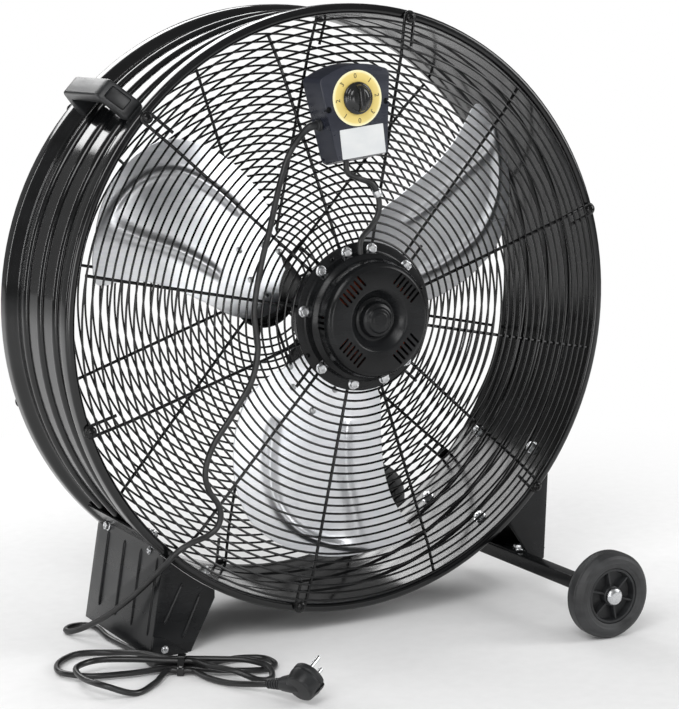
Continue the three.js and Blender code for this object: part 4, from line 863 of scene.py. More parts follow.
def motor_plate():
    ring = [(54, PLATE_BACK_Y), (PLATE_RADIUS, PLATE_BACK_Y), (PLATE_RADIUS, PLATE_FRONT_Y),
            (75, PLATE_FRONT_Y), (73.5, PLATE_FRONT_Y - 0.8), (54, PLATE_FRONT_Y - 0.8)]
    return placed(lathe(ring, 0.8, 2, 96), ON_DRUM)


def plate_bolts():
    places = []
    for angle in (*EYE_BOLTS, *PLATE_BOLTS):
        spot = facing(around(76.5, angle, PLATE_FRONT_Y - 0.1), (0, -1, 0))
        places.append(spot @ Matrix.Rotation(rad(angle), 4, "Y"))
    return copies(flanged_hex(9.5, 5.4), places)


def small_plate_screws():
    spots = [(77.6, 121.5), (81, -151), (79, 20)]
    places = [facing(around(r, a, PLATE_FRONT_Y), (0, -1, 0)) for r, a in spots]
    return copies(cross_screw(2.6, 1.6, 3), places)


def bell_profile():
    base = PLATE_FRONT_Y - 0.3
    front = BELL_FRONT_Y
    outside = [
        (0, front - 2.8), (8, front - 2.8), (9.5, front - 2.2), (13, front - 2),
        (14.4, front + 0.5), (16, front + 1.5), (19, front + 2.5), (19.5, front + 10),
        (24, front + 12), (31, front + 4), (35, front), (59, front), (63, front + 3),
        (65, front + 8), (66, base - 17), (69, base - 14), (72, base - 11), (72, base - 3),
        (73.5, base),
    ]
    inside = [
        (70, base), (70, base - 10), (63, base - 14), (60, front + 6), (36, front + 2.2),
        (23, front + 14.5), (16, front + 14.5), (16, front + 4), (0, front + 4),
    ]
    return rounded(outside + inside, 1.6, 3, closed=False)


def rounded_slot(length, width, depth):
    """A cutter with round ends, long in X and drawn through along Y."""
    x, z = (length - width) / 2, width / 2
    bar = block((-x, -depth, -z), (x, depth, z))
    return soften(bar, 0.45 * width, 3, chosen=longer_in_y(depth))


def bell():
    pitch = 6.2
    slots = []

    def add_slot(slot, angle):
        slots.append(placed(slot, ON_DRUM @ Matrix.Rotation(-rad(angle), 4, "Y")))

    for angle in EYE_BOLTS:
        for i in range(6):
            place = shifted(48, BELL_FRONT_Y + 1, (i - 2.5) * pitch)
            add_slot(placed(rounded_slot(18.5, 2.8, 6), place), angle)
    for angle in (0, 180):
        for z in (-pitch, 0, pitch):
            low, high = (58, BELL_FRONT_Y + 9, z - 1.3), (72, BELL_FRONT_Y + 20, z + 1.3)
            add_slot(block(low, high), angle)
    return carved(placed(turned(bell_profile(), 96), ON_DRUM), *slots)


def bell_screws():
    places = [facing(around(r, a, -133), (0, -1, 0)) for r, a in ((62, 85), (65, -141))]
    return copies(flanged_hex(7, 4.5), places)


def motor_can():
    w = 2
    profile = [
        (CAN_RADIUS, CAN_BACK_Y), (CAN_RADIUS, CAN_FRONT_Y - 8), (CAN_RADIUS - 8, CAN_FRONT_Y),
        (26, CAN_FRONT_Y), (20, CAN_FRONT_Y + 2), (20, CAN_FRONT_Y + 10), (16.3, CAN_FRONT_Y + 10),
        (16.3, CAN_FRONT_Y - w), (CAN_RADIUS - 9, CAN_FRONT_Y - w),
        (CAN_RADIUS - w, CAN_FRONT_Y - 9), (CAN_RADIUS - w, CAN_BACK_Y),
    ]
    return placed(lathe(profile, 3, 4, 80), ON_DRUM)


def stator():
    coil = 51
    profile = [
        (33, BELL_FRONT_Y + 16), (coil, BELL_FRONT_Y + 12), (coil, CAN_BACK_Y + 8),
        (57.7, CAN_BACK_Y + 8), (57.7, CAN_FRONT_Y - 20), (coil - 3, CAN_FRONT_Y - 20),
        (coil - 3, CAN_FRONT_Y - 8), (33, CAN_FRONT_Y - 8),
    ]
    return placed(lathe(profile, 4, 4, 72), ON_DRUM)


def shaft():
    rear = BELL_FRONT_Y + 4.3
    profile = [(0, rear), (7, rear), (7, CAN_BACK_Y + 10), (32, CAN_BACK_Y + 10),
               (32, CAN_FRONT_Y - 22), (7, CAN_FRONT_Y - 22), (7, SHAFT_END_Y - 1),
               (6, SHAFT_END_Y), (0, SHAFT_END_Y)]
    return placed(turned(profile, 32), ON_DRUM)


finished("motor_mounting_plate", motor_plate(), SATIN_PAINT, ["motor_plate"])
finished("motor_plate_bolts", plate_bolts(), ZINC)
finished("motor_plate_screws", small_plate_screws(), SATIN_PAINT)
finished("slotted_bell", bell(), SATIN_PAINT, ["motor_bell"])
finished("bell_shoulder_screws", bell_screws(), ZINC)
finished("pressed_can", motor_can(), SATIN_PAINT, ["motor_can"])
finished("wound_stator", stator(), WINDING, ["stator"])
finished("turned_shaft", shaft(), ZINC, ["rotor_shaft"], "rotor")

# ---- Rotor ----

# Edges of a blade, from root to tip: share of its length, inlet-side edge and outlet-side edge in
# degrees from the blade's phase.
BLADE_EDGES = [
    (0, 8, -38), (0.13, 12, -52), (0.27, 9, -57), (0.41, 3, -55), (0.58, -1, -50), (0.74, -2, -44),
    (0.87, -1, -37), (0.95, 0, -28), (0.99, -1, -20), (1, -5, -15),
]


def blade_edges(share):
    """Both edges at a share of the blade's length, on a smooth line through the measured ones."""
    i = max(k for k in range(len(BLADE_EDGES) - 1) if BLADE_EDGES[k][0] <= share)
    p1, p2 = BLADE_EDGES[i], BLADE_EDGES[i + 1]
    p0 = BLADE_EDGES[max(i - 1, 0)]
    p3 = BLADE_EDGES[min(i + 2, len(BLADE_EDGES) - 1)]
    width = p2[0] - p1[0]
    t = (share - p1[0]) / width
    edges = []
    for side in (1, 2):
        slope1 = (p2[side] - p0[side]) / (p2[0] - p0[0]) * width
        slope2 = (p3[side] - p1[side]) / (p3[0] - p1[0]) * width
        rise = p2[side] - p1[side]
        cubic = slope1 + slope2 - 2 * rise
        edges.append(p1[side] + t * (slope1 + t * (rise * 3 - 2 * slope1 - slope2 + t * cubic)))
    return edges


def blade_face_y(radius, degrees):
    share = min(radius / BLADE_TIP, 1)
    pitch = 29 + (15 - 29) * share
    arc = radius * rad(degrees - BLADE_MIDDLE)
    return ROTOR_Y - arc * math.tan(rad(pitch)) + 5 * (1 - (arc / 95) ** 2) * share


def rib_height(across, along):
    """The pressed rib that runs up both sides of a blade and round under its tip."""
    side = abs(across - 0.5) - 0.25
    top = along - 0.67
    away = abs(side) if top < 0 else abs(math.hypot(across - 0.5, 0.9 * top) - 0.25)
    return 3.6 * smoothstep(0.3, 0.4, along) * math.exp(-((away / 0.036) ** 2))


def skin(columns, rows, thickness, face_point):
    """A sheet of even thickness along Y, pressed to the given surface."""
    shape = bmesh.new()
    bmesh.ops.create_grid(shape, x_segments=columns, y_segments=rows, size=0.5)
    for vertex in shape.verts:
        vertex.co = face_point(vertex.co.x + 0.5, vertex.co.y + 0.5)
    grown = bmesh.ops.extrude_face_region(shape, geom=shape.faces[:])["geom"]
    moved = [item for item in grown if isinstance(item, bmesh.types.BMVert)]
    bmesh.ops.translate(shape, verts=moved, vec=(0, thickness, 0))
    return outward(shape)


def blade(number):
    phase = BLADE_PHASE + 120 * number

    def face_point(across, along):
        share = min(math.sin(along * math.pi / 2) ** 1.15, 1)
        radius = BLADE_ROOT + (BLADE_TIP - BLADE_ROOT) * share
        near, far = blade_edges(share)
        degrees = near + (far - near) * across
        y = blade_face_y(radius, degrees) - rib_height(across, share)
        return around(radius, phase + degrees, y)

    return soften(skin(128, 104, 1.8, face_point), 0.5, 2, 60)


def spider():
    """The carrier: a boss on the shaft, with an arm behind each blade."""
    boss = [(7.3, -42), (24, -42), (24, -32), (20, -26), (20, 6), (17, 10), (7.3, 10)]
    shapes = [placed(lathe(boss, 1.5, 3, 48), ON_DRUM)]
    for number in range(3):
        phase = BLADE_PHASE + 120 * number

        def face_point(across, along, phase=phase):
            radius = 18 + 118 * along
            half = (30 - 16 * along) * math.sqrt(max(1 - max(along - 0.86, 0) ** 2 / 0.14**2, 0.06))
            degrees = BLADE_MIDDLE + half * (1 - 2 * across)
            return around(radius, phase + degrees, blade_face_y(radius, degrees) + 1.9)

        shapes.append(soften(skin(14, 22, 4, face_point), 0.7, 2, 60))
    return merged(*shapes)


def blade_rivets():
    places = []
    for number in range(3):
        for radius, degrees in ((78, -5), (78, -45), (100, -12), (100, -38), (124, -25)):
            angle = BLADE_PHASE + 120 * number + degrees
            spot = around(radius, angle, blade_face_y(radius, degrees))
            places.append(facing(spot, (0, -1, 0)))
            places.append(facing(spot + Vector((0, 5.8, 0)), (0, 1, 0)))
    dome = [(0, -0.3), (4.2, -0.3), (4.2, 0.4), (3.4, 1.6), (1.8, 2.3), (0, 2.5)]
    return copies(lathe(dome, 0.5, 2, 16), places)


for number in range(3):
    finished(f"pressed_blade_{number + 1}", blade(number), ALUMINIUM,
             [f"blade_{number + 1}"], "rotor", 50)
finished("blade_carrier", spider(), SATIN_PAINT, ["blade_spider"], "rotor")
finished("blade_rivets", blade_rivets(), ZINC, body="rotor")

# ---- Switch box ----


def box_place():
    tilt = rad(BOX_ANGLE - 90)
    x = (math.cos(tilt), 0, math.sin(tilt))
    y = (-math.sin(tilt), 0, math.cos(tilt))
    return axes(x, y, (0, -1, 0), around(BOX_CENTRE_RADIUS, BOX_ANGLE, PLATE_BACK_Y))


ON_BOX = box_place()
# Here Y points straight out of the box, at the middle of the dial.
ON_DIAL = ON_BOX @ axes((1, 0, 0), (0, 0, 1), (0, -1, 0), (0, DIAL_RISE, BOX_FACE))


def arc_between(a, b, c, steps):
    """Points on the curve from a to c that heads for b."""
    a, b, c = Vector(a), Vector(b), Vector(c)
    return [tuple(a.lerp(b, i / steps).lerp(b.lerp(c, i / steps), i / steps)) for i in range(steps)]


def box_outline(inset):
    """A wedge with rounded corners and a curved top, wider above than below."""
    top = BOX_HEIGHT / 2 - inset
    low = -BOX_HEIGHT / 2 - 8 + inset
    a = 44 - inset
    b = 30 - inset
    r = 8 - inset
    lean = (a - b) / BOX_HEIGHT * r
    right = [
        *arc_between((b - r, low), (b, low), (b + lean, low + r), 5),
        *arc_between((a - lean, top - r), (a, top), (a - r, top + 2), 6),
    ]
    crown = arc_between((a - r, top + 2), (0, top + 18), (-a + r, top + 2), 20)
    left = [
        *arc_between((-a + r, top + 2), (-a, top), (-a + lean, top - r), 6),
        *arc_between((-b - lean, low + r), (-b, low), (-b + r, low), 5),
    ]
    return right + crown + left + [(-b + r, low)]


def post(x, y, low, high, radius, sides=48):
    return rod((x, y, low), (x, y, high), radius, sides)


def side_of_box(y):
    return -(30 + 14 * (y + BOX_HEIGHT / 2) / BOX_HEIGHT)


def box_posts(high, radius, sides):
    """A post at both screws of the cover."""
    return [
        post(side * BOX_SCREW_X, BOX_SCREW_Y, BOX_FACE - 6, high, radius, sides) for side in (-1, 1)
    ]


def box_cover():
    """A hollow shell, open below its slanting lower end."""
    shell = slab(box_outline(0), BOX_FACE - BACK_THICKNESS)
    bmesh.ops.translate(shell, verts=shell.verts, vec=(0, 0, BACK_THICKNESS))
    low = -BOX_HEIGHT / 2
    recess = 8
    whole = shell.verts[:] + shell.edges[:] + shell.faces[:]
    slope = -Vector((0, BOX_FACE, -recess)).normalized()
    cut = bmesh.ops.bisect_plane(shell, geom=whole, plane_co=(0, low, BOX_FACE), plane_no=slope,
                                 clear_outer=True)
    rim = [item for item in cut["geom_cut"] if isinstance(item, bmesh.types.BMEdge)]
    bmesh.ops.contextual_create(shell, geom=rim)
    outward(shell)
    soften(shell, 1.6, 4, 50, chosen=lambda edge: min(v.co.z for v in edge.verts) > 5)
    room = slab(box_outline(4), BOX_FACE - 5.5)
    holes = box_posts(BOX_FACE + 1, 3.5, 24)
    x = side_of_box(ENTRY_Y)
    entry = rod((x - 4, ENTRY_Y, ENTRY_Z), (x + 8, ENTRY_Y, ENTRY_Z), 5)
    stem = post(0, DIAL_RISE, BOX_FACE - 6, BOX_FACE + 1, 4)
    wedge = placed(block((-50, -40, -10), (50, 0, 70)), shifted(0, low + 3, 0))
    tilt = Matrix.Rotation(-math.atan2(recess, BOX_FACE), 3, "X")
    bmesh.ops.rotate(wedge, cent=(0, low + 3, BOX_FACE), matrix=tilt, verts=wedge.verts)
    return placed(carved(shell, carved(room, wedge), *holes, entry, stem), ON_BOX)


def box_screws():
    return placed(merged(*box_posts(BOX_FACE - 3, 3.2, 20)), ON_BOX)


def box_back():
    plate = soften(slab(box_outline(0.4), 4), 0.8, 2, 50)
    return placed(plate, ON_BOX)


def dial_disc():
    disc = lathe([(4, 0), (DIAL_RADIUS, 0), (DIAL_RADIUS, 1), (4, 1)], 0.3, 2, 96)
    return placed(disc, ON_DIAL)


def dial_figures():
    """The switch positions, twice round the dial, each with its foot towards the middle."""
    shapes = []
    for i, figure in enumerate("01230123"):
        turn = Matrix.Rotation(rad(-45 * i), 4, "Z")
        place = shifted(0, DIAL_RISE, BOX_FACE + 1.05) @ turn @ shifted(0, 23.8, 0)
        shapes.append(placed(lettered(figure, 7.6, 0.2), place))
    return placed(merged(*shapes), ON_BOX)


def knob():
    """A domed knob with a curved bar across it to hold."""
    dome = [(0, 1.3), (17.6, 1.3), (17.6, 3.2), (16.8, 4.4), (14.5, 5.2), (12.5, 8), (9, 10),
            (0, 10.6)]
    skirt = lathe(dome, 1.2, 3, 72)
    bar = rounded([(-15, 2), (15, 2), (15, 8), (11, 14.5), (-11, 14.5), (-15, 8)], 3.5, 5)
    grip = placed(slab(bar, 6.4), shifted(0, 0, -3.2))
    soften(grip, 1.4, 4, 50)
    turn = axes((0, 0, 1), (0, 1, 0), (-1, 0, 0), (0, 0, 0))
    head = merged(skirt, placed(grip, turn), rod((0, -16, 0), (0, 3, 0), 3))
    mark = block((-0.4, 14.3, 4), (0.4, 14.9, 11))
    return placed(carved(head, mark), ON_DIAL)


def label_plate():
    outline = rounded([(-25.5, -44.5), (28.5, -44.5), (28.5, -12.5), (-25.5, -12.5)], 1.2, 3)
    plate = soften(slab(outline, 0.7), 0.15, 1, 60)
    return placed(placed(plate, shifted(0, 0, BOX_FACE)), ON_BOX)


def gland():
    spot = (side_of_box(ENTRY_Y), ENTRY_Y, ENTRY_Z)
    collar = [(3.4, -3), (4.6, -3), (4.6, 1), (6.5, 1.3), (6.5, 3), (5.9, 3.3), (5.9, 4.2),
              (6.2, 4.4), (6.2, 5.2), (4.2, 6.4), (3.4, 6.4)]
    body = lathe(collar, 0.3, 2, 32)
    return placed(body, ON_BOX @ facing(spot, (-1, 0, 0)))


finished("switch_box_cover", box_cover(), BOX_PLASTIC, ["box_cover"])
finished("switch_box_back", box_back(), BOX_PLASTIC, ["box_base"])
finished("switch_box_screws", box_screws(), SATIN_PAINT)
DIAL_CENTRE = ON_BOX @ Vector((0, DIAL_RISE, BOX_FACE))
finished("dial_film", dial_disc(), dial_finish(DIAL_CENTRE), ["dial_ring"])
finished("dial_figures", dial_figures(), FIGURE_INK)
finished("domed_knob", knob(), GLOSS_PLASTIC, ["selector_knob"], "knob")
finished("blank_label", label_plate(), WHITE_FILM, ["rating_plate"])
finished("cord_entry_collar", gland(), GREY_PLASTIC, ["cord_gland"])

# ---- Handle ----


def handle():
    half = 68
    foot = SADDLE_RADIUS
    top = 380
    outline = [
        (-half, foot), (-half, foot + 7), (-half + 18, top - 2), (-half + 25, top),
        (half - 25, top), (half - 18, top - 2), (half, foot + 7), (half, foot), (half - 18, foot),
        (half - 26, top - 14), (-half + 26, top - 14), (-half + 18, foot),
    ]
    bridge = placed(slab(rounded(outline, 5, 4), 24), shifted(0, 0, -12))
    soften(bridge, 2.6, 4, 50)
    hollow = block((-half + 32, top - 16, -9), (half - 32, top - 3, 9))
    slope = math.atan2(33, 18)
    pockets = []
    for side in (-1, 1):
        pocket = soften(block((-13, -3, -8), (13, 8, 8)), 2.5, 3)
        lean = Matrix.Rotation(-side * slope, 4, "Z")
        pockets.append(placed(pocket, shifted(side * (half - 10), (foot + top + 4) / 2, 0) @ lean))
    a = rad(HANDLE_ANGLE)
    place = axes((0, 1, 0), (math.cos(a), 0, math.sin(a)), (math.sin(a), 0, -math.cos(a)),
                 (0, HANDLE_Y, AXIS_HEIGHT))
    return placed(carved(bridge, hollow, *pockets), place)


def drum_nuts():
    """Nuts on the studs that hold the handle, the foot and the wheel bracket."""
    studs = [(HANDLE_ANGLE, HANDLE_Y - 59), (HANDLE_ANGLE, HANDLE_Y + 59)]
    studs += [(a, y) for a in (-134.5, -120.5, -53.3, -34.6) for y in (-STUD_Y, STUD_Y)]
    axis = around(0, 0, 0)
    places = [facing(around(NUT_RADIUS, a, y), axis - around(1, a, 0)) for a, y in studs]
    return copies(nut_on_stud(11), places)


finished("carry_handle", handle(), GREY_PLASTIC, ["handle"])
finished("drum_nuts", drum_nuts(), ZINC)

# ---- Foot and wheel bracket ----


def drum_room():
    """The space that the drum takes, cut out of what stands under it."""
    step = FLARE_Y - 0.3
    rim = RIM_RADIUS + 0.3
    profile = [(0, -120), (rim, -120), (rim, -step - FLARE), (SADDLE_RADIUS, -step),
               (SADDLE_RADIUS, step), (rim, step + FLARE), (rim, 120), (0, 120)]
    return placed(turned(profile, 144), ON_DRUM)


def seat_arc(x0, x1, radius, steps=12):
    places = [x0 + (x1 - x0) * i / steps for i in range(steps + 1)]
    return [(x, under_drum(x, radius)) for x in places]


def seat_flange(low, high, reach):
    """The flange that follows the barrel between two angles."""
    def arc(radius, a, b):
        turns = [a + (b - a) * i / 16 for i in range(17)]
        return [(around(radius, t, 0).x, around(radius, t, 0).z) for t in turns]

    outline = arc(SADDLE_RADIUS, low, high) + arc(SADDLE_RADIUS + 2, high, low)
    return along_y(outline, -reach, reach)


def pressed_rib(start, end, radius):
    """A rib with ends that run out to nothing, half sunk in its plate."""
    start, end = Vector(start), Vector(end)
    sizes = [(0, 0.1), (0.02, 0.6), (0.05, 0.9), (0.09, 1), (0.91, 1), (0.95, 0.9), (0.98, 0.6),
             (1, 0.1)]
    return wire([[(*start.lerp(end, share), size) for share, size in sizes]], radius, 10)


def is_corner(edge):
    """True for the upright edges where the outer plate folds into the end plates."""
    a, b = edge.verts[0].co, edge.verts[1].co
    return abs(abs(a.y) - PLATE_HALF) < 0.1 and abs(a.y - b.y) < 0.1


def folded_sheet(outline, room):
    """A folded sheet under the drum: its outline drawn along Y, less the room inside it."""
    body = soften(along_y(outline, -PLATE_HALF, PLATE_HALF), 1.6, 3, 40, chosen=is_corner)
    return carved(body, along_y(room, -PLATE_HALF + 2, PLATE_HALF - 2), drum_room())


def foot():
    top = under_drum(FOOT_TOP_X, SADDLE_RADIUS - 8)
    inner_z = under_drum(FOOT_INNER_X, RIM_RADIUS) - 9
    outline = [(FOOT_BOTTOM_X, 0), (FOOT_TOE_X, 0), (FOOT_INNER_X, inner_z)]
    outline += seat_arc(FOOT_INNER_X, FOOT_TOP_X, SADDLE_RADIUS - 8)
    room = [
        (FOOT_BOTTOM_X + 2, 2), (FOOT_BOTTOM_X + 2, -5), (FOOT_INNER_X + 40, -5),
        (FOOT_INNER_X + 40, 183), (FOOT_TOP_X + 2, 183), (FOOT_TOP_X + 2, top),
    ]
    shell = folded_sheet(outline, room)
    lean = (FOOT_TOP_X - FOOT_BOTTOM_X) / top
    ribs = []
    for y in (-79, -34, 12, 59):
        low, high = [(FOOT_BOTTOM_X + lean * z, y, z) for z in (21, top - 20)]
        ribs.append(pressed_rib(low, high, 2))
    for y in (-PLATE_HALF, PLATE_HALF):
        ribs.append(pressed_rib((-235, y, 36), (-212, y, 80), 1.8))
        ribs.append(pressed_rib((-213, y, 17), (-190, y, 66), 1.8))
    x = FOOT_BOTTOM_X
    sole = soften(block((x + 1, -PLATE_HALF + 1, 0), (x + 26, PLATE_HALF - 1, 2)), 0.6, 2)
    flap = [(x + 1, 0), (FOOT_TOE_X - 4, 0), (x + 15, 21), (x + 4, 24)]
    toe = soften(along_y(flap, -PLATE_HALF - 1.6, -PLATE_HALF + 1), 0.5, 2)
    return merged(shell, sole, seat_flange(-138, -117.5, 74), toe, *ribs)


def foot_screws():
    toe = facing((-235, -PLATE_HALF - 1.6, 8), (0, -1, 0))
    upper = facing((-234, -56, 111), (-1, 0, 0.16))
    notch = facing((-233.6, 62, 114), (-1, 0, 0.16))
    screws = copies(cross_screw(3.6, 2.4, 4.4), [toe, upper])
    return merged(screws, placed(flanged_hex(9, 5), notch))


def wheel_bracket():
    low = TUBE_TOP - 14
    side = WHEEL_X + 8.3
    bore = SADDLE_RADIUS - 8
    outline = [
        (BRACKET_INNER_X, under_drum(BRACKET_INNER_X, bore)),
        (BRACKET_INNER_X, under_drum(BRACKET_INNER_X, RIM_RADIUS) - 3), (side, TUBE_TOP),
        (side + 1, low + 6), (side + 8, low), (BRACKET_TOP_X - 8, low),
        (BRACKET_TOP_X - 5, low + 3), *seat_arc(BRACKET_TOP_X, BRACKET_INNER_X + 4, bore),
    ]
    wall = BRACKET_TOP_X - 2
    room = [
        (BRACKET_INNER_X - 20, low - 10), (wall - 5, low - 10), (wall - 5, low + 3),
        (wall, under_drum(BRACKET_TOP_X, bore)), (wall, 366), (BRACKET_INNER_X - 20, 366),
    ]
    shell = folded_sheet(outline, room)
    ledge = block((WHEEL_X - 8, -PLATE_HALF + 1, TUBE_TOP + 0.1),
                  (wall - 2, PLATE_HALF - 1, TUBE_TOP + 2.3))
    ribs = [pressed_rib((BRACKET_TOP_X - 0.3, y, 76), (BRACKET_TOP_X - 0.1, y, 132), 1.9)
            for y in (-60, -20, 20, 60)]
    return merged(shell, soften(ledge, 0.5, 2), seat_flange(-57, -31, 74), *ribs)


def bracket_bolts():
    places = [facing((WHEEL_X + 2, y, TUBE_TOP + 2.2), (0, 0, 1)) for y in (-86, 86)]
    return copies(flanged_hex(10, 6), places)


def axle_tube():
    def bar(half, end):
        x, z = WHEEL_X, WHEEL_RADIUS
        return block((x - half, -end, z - half), (x + half, end, z + half))

    outer = soften(bar(TUBE_SIZE / 2, TUBE_END_Y), 1.4, 3, chosen=longer_in_y(50))
    return carved(outer, bar(TUBE_SIZE / 2 - 1.5, TUBE_END_Y + 1))


finished("sheet_foot", foot(), SATIN_PAINT, ["foot"])
finished("foot_screws", foot_screws(), ZINC)
finished("sheet_bracket", wheel_bracket(), SATIN_PAINT, ["wheel_bracket"])
finished("bracket_bolts", bracket_bolts(), ZINC)
finished("square_axle", axle_tube(), SATIN_PAINT, ["axle_tube"])

# ---- Wheels ----


def tyre():
    profile = [
        (32, -12), (37, -13.2), (38, -14), (43, -14), (44, -13.3), (46, -12.6), (49.3, -8),
        (50, -7), (48.8, -6.4), (48.8, -5.2), (50, -4.6), (50, 4.6), (48.8, 5.2), (48.8, 6.4),
        (50, 7), (49.3, 8), (46, 12.6), (44, 13.3), (43, 14), (38, 14), (37, 13.2), (32, 12),
    ]
    return lathe(profile, 1, 2, 96)


def wheel_hub():
    profile = [(5.3, -11), (10, -11), (11.5, -10), (12, -2), (27.5, -2), (28.5, -11), (31.7, -11),
               (31.7, 11), (28.5, 11), (27.5, 2), (12, 2), (11.5, 10), (10, 11), (5.3, 11)]
    shapes = [lathe(profile, 0.9, 2, 72)]
    for i in range(6):
        rib = soften(block((10.5, -9.5, -1.1), (29, 9.5, 1.1)), 0.4, 2)
        shapes.append(placed(rib, Matrix.Rotation(rad(60 * i + 12), 4, "Y")))
    return merged(*shapes)


def axle_bolt():
    profile = [(0, -17), (8, -16.7), (8, -14.5), (5, -14.5), (5, 11.2), (10, 11.2), (10.4, 13.5),
               (9, 15.8), (5.5, 17), (0, 17.3)]
    stem = lathe(profile, 0.8, 3, 40)
    return merged(stem, block((-6.2, -28, -6.2), (6.2, -16.5, 6.2)))


for side, word in ((-1, "near"), (1, "far")):
    axle = facing((WHEEL_X, side * WHEEL_Y, WHEEL_RADIUS), (0, side, 0))
    finished("round_tyre_" + word, placed(tyre(), axle), tyre_finish(word.title()),
             ["tyre_" + word], "wheel_" + word)
    finished("ribbed_hub_" + word, placed(wheel_hub(), axle), GREY_PLASTIC,
             ["wheel_hub_" + word], "wheel_" + word)
    finished("axle_cap_" + word, placed(axle_bolt(), axle), ZINC, ["axle_bolt_" + word])

# ---- Lead from the box to the motor ----

LEAD_Y = -(GRILLE_FACE_Y + RING_STAND + RING_WIRE / 2 + LEAD / 2 + 0.9)
LEAD_END_Y = PLATE_FRONT_Y - LEAD / 2 - 5


def lead_points():
    return [
        ON_BOX @ Vector((-7, -46.2, 14)), ON_BOX @ Vector((-7, -62.2, 14)), around(155, 93, LEAD_Y),
        around(147.3, 86, LEAD_Y), around(132.3, 82, LEAD_Y), around(116, 81, LEAD_Y),
        around(100, 86, LEAD_Y - 2), around(90, 93, LEAD_Y - 5), around(82, 96.5, LEAD_END_Y),
        around(BELL_RADIUS - 0.5, 97, LEAD_END_Y),
    ]


def lead_clip():
    """A band round the lead, screwed to a spoke."""
    centre = around(138.3, 83, LEAD_Y)
    along = (around(132.3, 82, LEAD_Y) - around(147.3, 86, LEAD_Y)).normalized()
    band = lathe([(3.9, -3.6), (5.2, -3.6), (5.2, 3.6), (3.9, 3.6)], 0.5, 2, 32)
    tab = block((-2.2, -3.6, 3.6), (-0.6, 3.6, 12))
    screw = placed(cross_screw(2.6, 1.6, 3), facing((-2.2, 0, 8.4), (-1, 0, 0)))
    return placed(merged(band, soften(tab, 0.4, 2), screw), facing(centre, along))


motor_lead_path = smooth_route(lead_points(), 2)
motor_lead = finished("motor_lead_cord", wire([motor_lead_path], LEAD / 2, 16), SHEATH,
                      ["motor_lead"])
finished("lead_p_clip", lead_clip(), ZINC, ["lead_clip"])

# ---- Mains cord ----

OVER_RINGS = RING_STAND + RING_WIRE / 2 + CORD / 2 + 1
ON_FLOOR = CORD / 2 + 0.6


def on_grille(x, z, lift=0):
    """A point where the cord lies on the inlet grille."""
    radius = math.hypot(x, z - AXIS_HEIGHT)
    return Vector((x, -(dished_y(radius) + OVER_RINGS + lift), z))


TIE = Vector((-243, -158, 0))
HANK_AXIS = rad(-32)
HALF_WAIST = 13
LANE = CORD + 1.6
# The five strands in the tie as (lane across it, layer): each loop joins one strand to the next.
STRANDS = [(1, 0), (0, 0), (1, 1), (0, 1), (-1, 0)]
# How far each loop reaches, where it heads, and half its width.
LOOPS = [(88, -17, 21), (124, 142, 43), (90, -50, 18), (102, 184, -46)]


def strand_height(layer):
    return CORD / 2 + 2.1 + layer * LANE


def in_tie(strand, along):
    across, layer = STRANDS[strand]
    x = TIE.x + along * math.cos(HANK_AXIS) - across * LANE * math.sin(HANK_AXIS)
    y = TIE.y + along * math.sin(HANK_AXIS) + across * LANE * math.cos(HANK_AXIS)
    return Vector((x, y, strand_height(layer)))


def loop_point(number, t):
    reach, heading, spread = LOOPS[number]
    end = HALF_WAIST if number % 2 == 0 else -HALF_WAIST
    spot = in_tie(number, end).lerp(in_tie(number + 1, end), t)
    out = reach * math.sin(math.pi * t)
    side = spread * math.sin(2 * math.pi * t)
    turn = rad(heading)
    spot.x += out * math.cos(turn) - side * math.sin(turn)
    spot.y += out * math.sin(turn) + side * math.cos(turn)
    spot.z = loop_height(number, t)
    return spot


def loop_height(number, t):
    """Lower loops lie on the floor. An upper one stays up while it is over another."""
    start = strand_height(STRANDS[number][1])
    end = strand_height(STRANDS[number + 1][1])
    down = (0.62, 0.78) if number == 3 else (0.3, 0.45)
    up = {1: (0.8, 0.97), 3: (0.9, 1)}.get(number, (0.6, 0.75))
    low = start + (ON_FLOOR - start) * smoothstep(*down, t)
    return low + (end - low) * smoothstep(*up, t)


PLUG_HEAD = Vector((-177, -313, 22.8))
PLUG_AXIS = Vector((0.36, -0.906, 0.221)).normalized()
PIN_AXIS = Vector((0.93, 0.37, math.tan(rad(30)))).normalized()
PIN_OFFSET = 9.5
RELIEF_END = 50


def plug_point(back):
    return PLUG_HEAD - PLUG_AXIS * back


